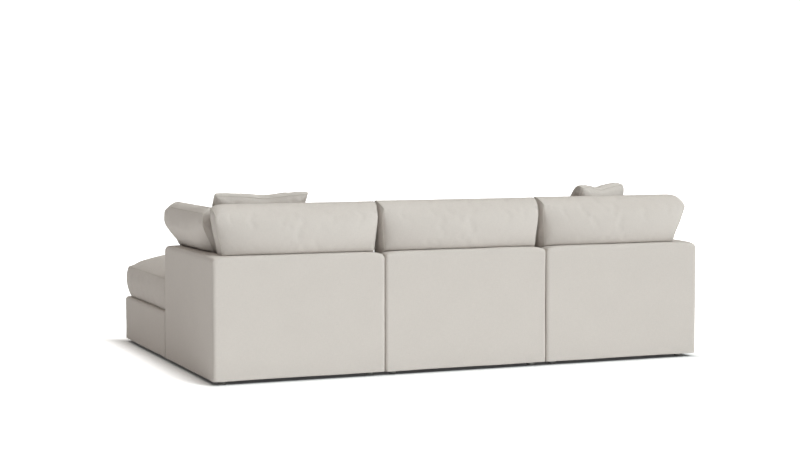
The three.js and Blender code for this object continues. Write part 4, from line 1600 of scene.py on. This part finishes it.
@dataclass(frozen=True)
class Studio:
    """Camera, floor and lights."""

    camera_place: tuple[float, float, float] = (3.6634, 8.8435, 1.3096)
    pitch_down: float = 0.0635
    heading: float = 157.5
    lens: float = 76.443
    sensor: float = 36.0
    sky: float = 0.04
    backdrop: float = 1.3
    # painted light on the floor: how strongly it glows away from the sofa and at its footprint, where the
    # glow starts and how far out it fades, and the share of it that lights the sofa
    floor_glow: float = 0.72
    gap_glow: float = 0.04
    glow_margin: float = 0.010
    glow_reach: float = 0.17
    glow_spill: float = 0.3
    floor_reach: float = 60.0

    def camera(self) -> None:
        """Sets up the camera as it stood for the photograph."""
        data = bpy.data.cameras.new("camera")
        data.lens = self.lens
        data.sensor_width = self.sensor
        data.clip_end = 100.0
        obj = bpy.data.objects.new("camera", data)
        obj.location = self.camera_place
        obj.rotation_euler = (math.pi / 2 - self.pitch_down, 0.0, math.radians(self.heading))
        bpy.context.scene.collection.objects.link(obj)
        bpy.context.scene.camera = obj

    def beyond(
        self, bench: NodeBench, place: bpy.types.Node, low: Vector, high: Vector
    ) -> bpy.types.NodeSocket:
        """Adds nodes for how far a place on the floor is outside a footprint, the mask of the floor's
        painted glow.

        Args:
            bench: The floor's nodes.
            place: The node that gives the place.
            low: Lowest corner of the footprint.
            high: Highest corner of the footprint.

        Returns:
            The distance's socket.
        """
        outside = []
        for axis, start, end in zip("XY", low, high):
            from_middle = bench.math("SUBTRACT", place.outputs[axis], (start + end) / 2)
            half_span = (end - start) / 2 - self.glow_margin
            outside.append(bench.math("SUBTRACT", bench.math("ABSOLUTE", from_middle, 0.0), half_span))
        return bench.math("MAXIMUM", bench.math("MAXIMUM", *outside), 0.0)

    def floor(self) -> None:
        """Lays a pale floor that glows with painted light: seen by the camera it glows white away from the
        sofa, which washes out the real cast shadow there, and it glows far less at the sofa's footprint, so
        painted shade stays beside and under the sofa; a share of the glow also lights the sofa from below as
        if the floor were a lamp.
        """
        points = np.array([(-1.0, -1.0, 0.0), (1.0, -1.0, 0.0), (1.0, 1.0, 0.0), (-1.0, 1.0, 0.0)])
        obj = mesh_object("floor", points * self.floor_reach, np.array([[0, 1, 2, 3]]))
        bench = NodeBench("pale_floor_painted_glow")
        bench.shader.inputs["Base Color"].default_value = (0.96, 0.96, 0.96, 1.0)
        bench.shader.inputs["Emission Color"].default_value = (1.0, 1.0, 1.0, 1.0)
        place = bench.add("ShaderNodeSeparateXYZ")
        bench.link(bench.coordinates((1.0, 1.0, 1.0), False), place.inputs["Vector"])
        row = self.beyond(bench, place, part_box("right_corner_cover")[0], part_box("left_corner_cover")[1])
        distance = bench.math("MINIMUM", row, self.beyond(bench, place, *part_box("ottoman_cover")))
        # painted shade and light: the glow fades from the low gap glow at the sofa's footprint to the full
        # floor glow a little way out
        glow = bench.add("ShaderNodeMapRange", interpolation_type="SMOOTHSTEP")
        bench.link(distance, glow.inputs["Value"])
        glow.inputs["From Max"].default_value = self.glow_reach
        glow.inputs["To Min"].default_value = self.gap_glow
        glow.inputs["To Max"].default_value = self.floor_glow
        # the camera sees the whole painted glow; other rays get only the spill share, which lights the sofa
        # from below
        seen = bench.add("ShaderNodeLightPath").outputs["Is Camera Ray"]
        share = bench.math("MAXIMUM", seen, self.glow_spill)
        strength = bench.math("MULTIPLY", glow.outputs["Result"], share)
        bench.link(strength, bench.shader.inputs["Emission Strength"])
        bench.shader.inputs["Roughness"].default_value = 1.0
        bench.shader.inputs["Specular IOR Level"].default_value = 0.0
        obj.data.materials.append(bench.material)

    def world(self) -> None:
        """Lights the scene from all round, on a white background."""
        world = bpy.data.worlds.new("studio")
        world.use_nodes = True
        bpy.context.scene.world = world
        tree = world.node_tree
        tree.nodes.clear()
        output = tree.nodes.new("ShaderNodeOutputWorld")
        fill, backdrop = tree.nodes.new("ShaderNodeBackground"), tree.nodes.new("ShaderNodeBackground")
        fill.inputs["Strength"].default_value = self.sky
        backdrop.inputs["Strength"].default_value = self.backdrop
        for node in (fill, backdrop):
            node.inputs["Color"].default_value = (1.0, 1.0, 1.0, 1.0)
        path = tree.nodes.new("ShaderNodeLightPath")
        mix = tree.nodes.new("ShaderNodeMixShader")
        tree.links.new(path.outputs["Is Camera Ray"], mix.inputs["Fac"])
        tree.links.new(fill.outputs["Background"], mix.inputs[1])
        tree.links.new(backdrop.outputs["Background"], mix.inputs[2])
        tree.links.new(mix.outputs["Shader"], output.inputs["Surface"])

    @staticmethod
    def light(lamp: SoftLight) -> None:
        """Adds a soft light."""
        data = bpy.data.lights.new(lamp.name, "SUN")
        data.energy = lamp.strength
        data.angle = math.radians(lamp.angle)
        data.color = lamp.colour
        obj = bpy.data.objects.new(lamp.name, data)
        obj.rotation_mode = "QUATERNION"
        obj.rotation_quaternion = Vector(lamp.comes_from).to_track_quat("Z", "Y")
        bpy.context.scene.collection.objects.link(obj)

    def build(self) -> None:
        """Builds the studio."""
        bpy.context.scene.view_settings.view_transform = "Standard"
        self.camera()
        self.floor()
        self.world()
        for lamp in (MAIN_LIGHT, TOP_LIGHT):
            self.light(lamp)


class Sofa:
    """The whole sofa, built piece by piece."""

    SEAT_MARGIN = 0.0003

    def __init__(self, trees: PathTrees) -> None:
        """Keeps the Geometry Nodes trees.

        Args:
            trees: The trees for seams and staples.
        """
        self.trees = trees

    def seat(self, place: ModulePlace) -> SeatCushion:
        """Returns the seat cushion of a module."""
        edge = place.half - self.SEAT_MARGIN
        inner = place.half - PLAN.wall - PLAN.touch if place.side_wall else edge
        rear = -PLAN.wall - PLAN.touch if place.back_wall else -self.SEAT_MARGIN
        is_seat = place.back_wall
        piece, body = ("seat_cushion", f"{place.name}_seat") if is_seat else ("cushion", "ottoman_top")
        return SeatCushion(
            place, piece, body,
            xs=(-edge, inner), ys=(self.SEAT_MARGIN - place.depth, rear),
            pressed_rear=0.205 if is_seat else 0.0, pressed_side=0.112 if place.side_wall else 0.0,
            firmness=0.75,
        )

    def corner(self, back: BackCushion, pillow: ThrowPillow) -> None:
        """Builds the cushions of a corner module.

        Args:
            back: The back cushion.
            pillow: The throw pillow that leans there.
        """
        place = back.place
        seat = self.seat(place).make(self.trees)
        side = SideCushion(
            place, "side_cushion", f"{place.name}_side", length=0.775, seam_height=0.857, seam_drop=0.024,
            end_bulge=0.008, top_bulge=0.003, boxing=0.071, rear_swell=0.022, front_swell=0.100,
            end_tapers=(0.120, 0.010), front_tapers=(0.030, 0.010), top_ears=(0.0, 0.004),
            top_drops=(0.004, 0.030), drop_power=8.0, corner_fades=(1.0, 1.0), rear_curl=0.014,
            end_room=0.060, top_cord=True, peak=0.5, low=-0.5, panel_power=1.0, alongs=(0.8, 0.5),
            wall_press=0.086, press_peak=-0.5, press_reach=1.2, pressed=0.280, cells_along=52,
            outer_seam=0.004, back=back,
        )
        back_piece = back.make(self.trees, [seat])
        side_piece = side.make(self.trees, [seat])
        pillow.make(self.trees, [back_piece, side_piece, seat])

    def build(self) -> None:
        """Builds every piece."""
        for place in MODULES:
            UpholsteredCover(place, side_proud=0.014 if place is RIGHT_CORNER else 0.0).make()
            Underside(place).make(self.trees)
        sewn = {"fill": ClothFill(cap=0.006), "seam": SeamCord(radius=0.002)}
        left_pillow = ThrowPillow(
            LEFT_CORNER, "throw_pillow", "left_corner_pillow", foot=(0.1200, -0.5680, 0.5520),
            lean=40.5, boxing=0.018, **sewn,
        )
        right_pillow = ThrowPillow(
            RIGHT_CORNER, "throw_pillow", "right_corner_pillow", foot=(-0.0900, -0.6123, 0.5524),
            lean=43.5, turn=-33.0, bend=30.0, boxing=0.042, ear=0.010, **sewn,
        )
        left_back = BackCushion(
            LEFT_CORNER, "back_cushion", "left_corner_back", length=2 * (LEFT_CORNER.half - 0.003),
            seam_height=0.878, end_tapers=(0.046, 0.070), front_tapers=(0.0, 0.070), end_insets=(0.0, 0.024),
            top_ears=(0.010, 0.010), top_drops=(0.006, 0.020), corner_fades=(2.0, 0.0), alongs=(0.42, 0.75),
        )
        right_back = BackCushion(
            RIGHT_CORNER, "back_cushion", "right_corner_back", length=2 * (RIGHT_CORNER.half - 0.003),
            seam_height=0.883, end_tapers=(0.024, 0.124), front_tapers=(0.0, 0.124), taper_power=0.85,
            end_insets=(0.0, 0.006),
            top_ears=(0.016, 0.004), top_drops=(0.004, 0.028), corner_fades=(2.0, 0.0), alongs=(0.50, 0.42),
        )
        middle_back = BackCushion(
            MIDDLE, "back_cushion", "middle_back", length=2 * (MIDDLE.half - 0.003), seam_height=0.881,
        )
        self.corner(left_back, left_pillow)
        self.corner(right_back, right_pillow)
        middle_back.make(self.trees, [self.seat(MIDDLE).make(self.trees)])
        self.seat(OTTOMAN).make(self.trees)


def main() -> None:
    """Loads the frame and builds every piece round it."""
    logging.basicConfig(level=logging.INFO, format="%(message)s")
    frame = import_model()
    Studio().build()
    Sofa(PathTrees()).build()
    HardParts().dress(frame["nodes"])


if __name__ == "__main__":
    main()
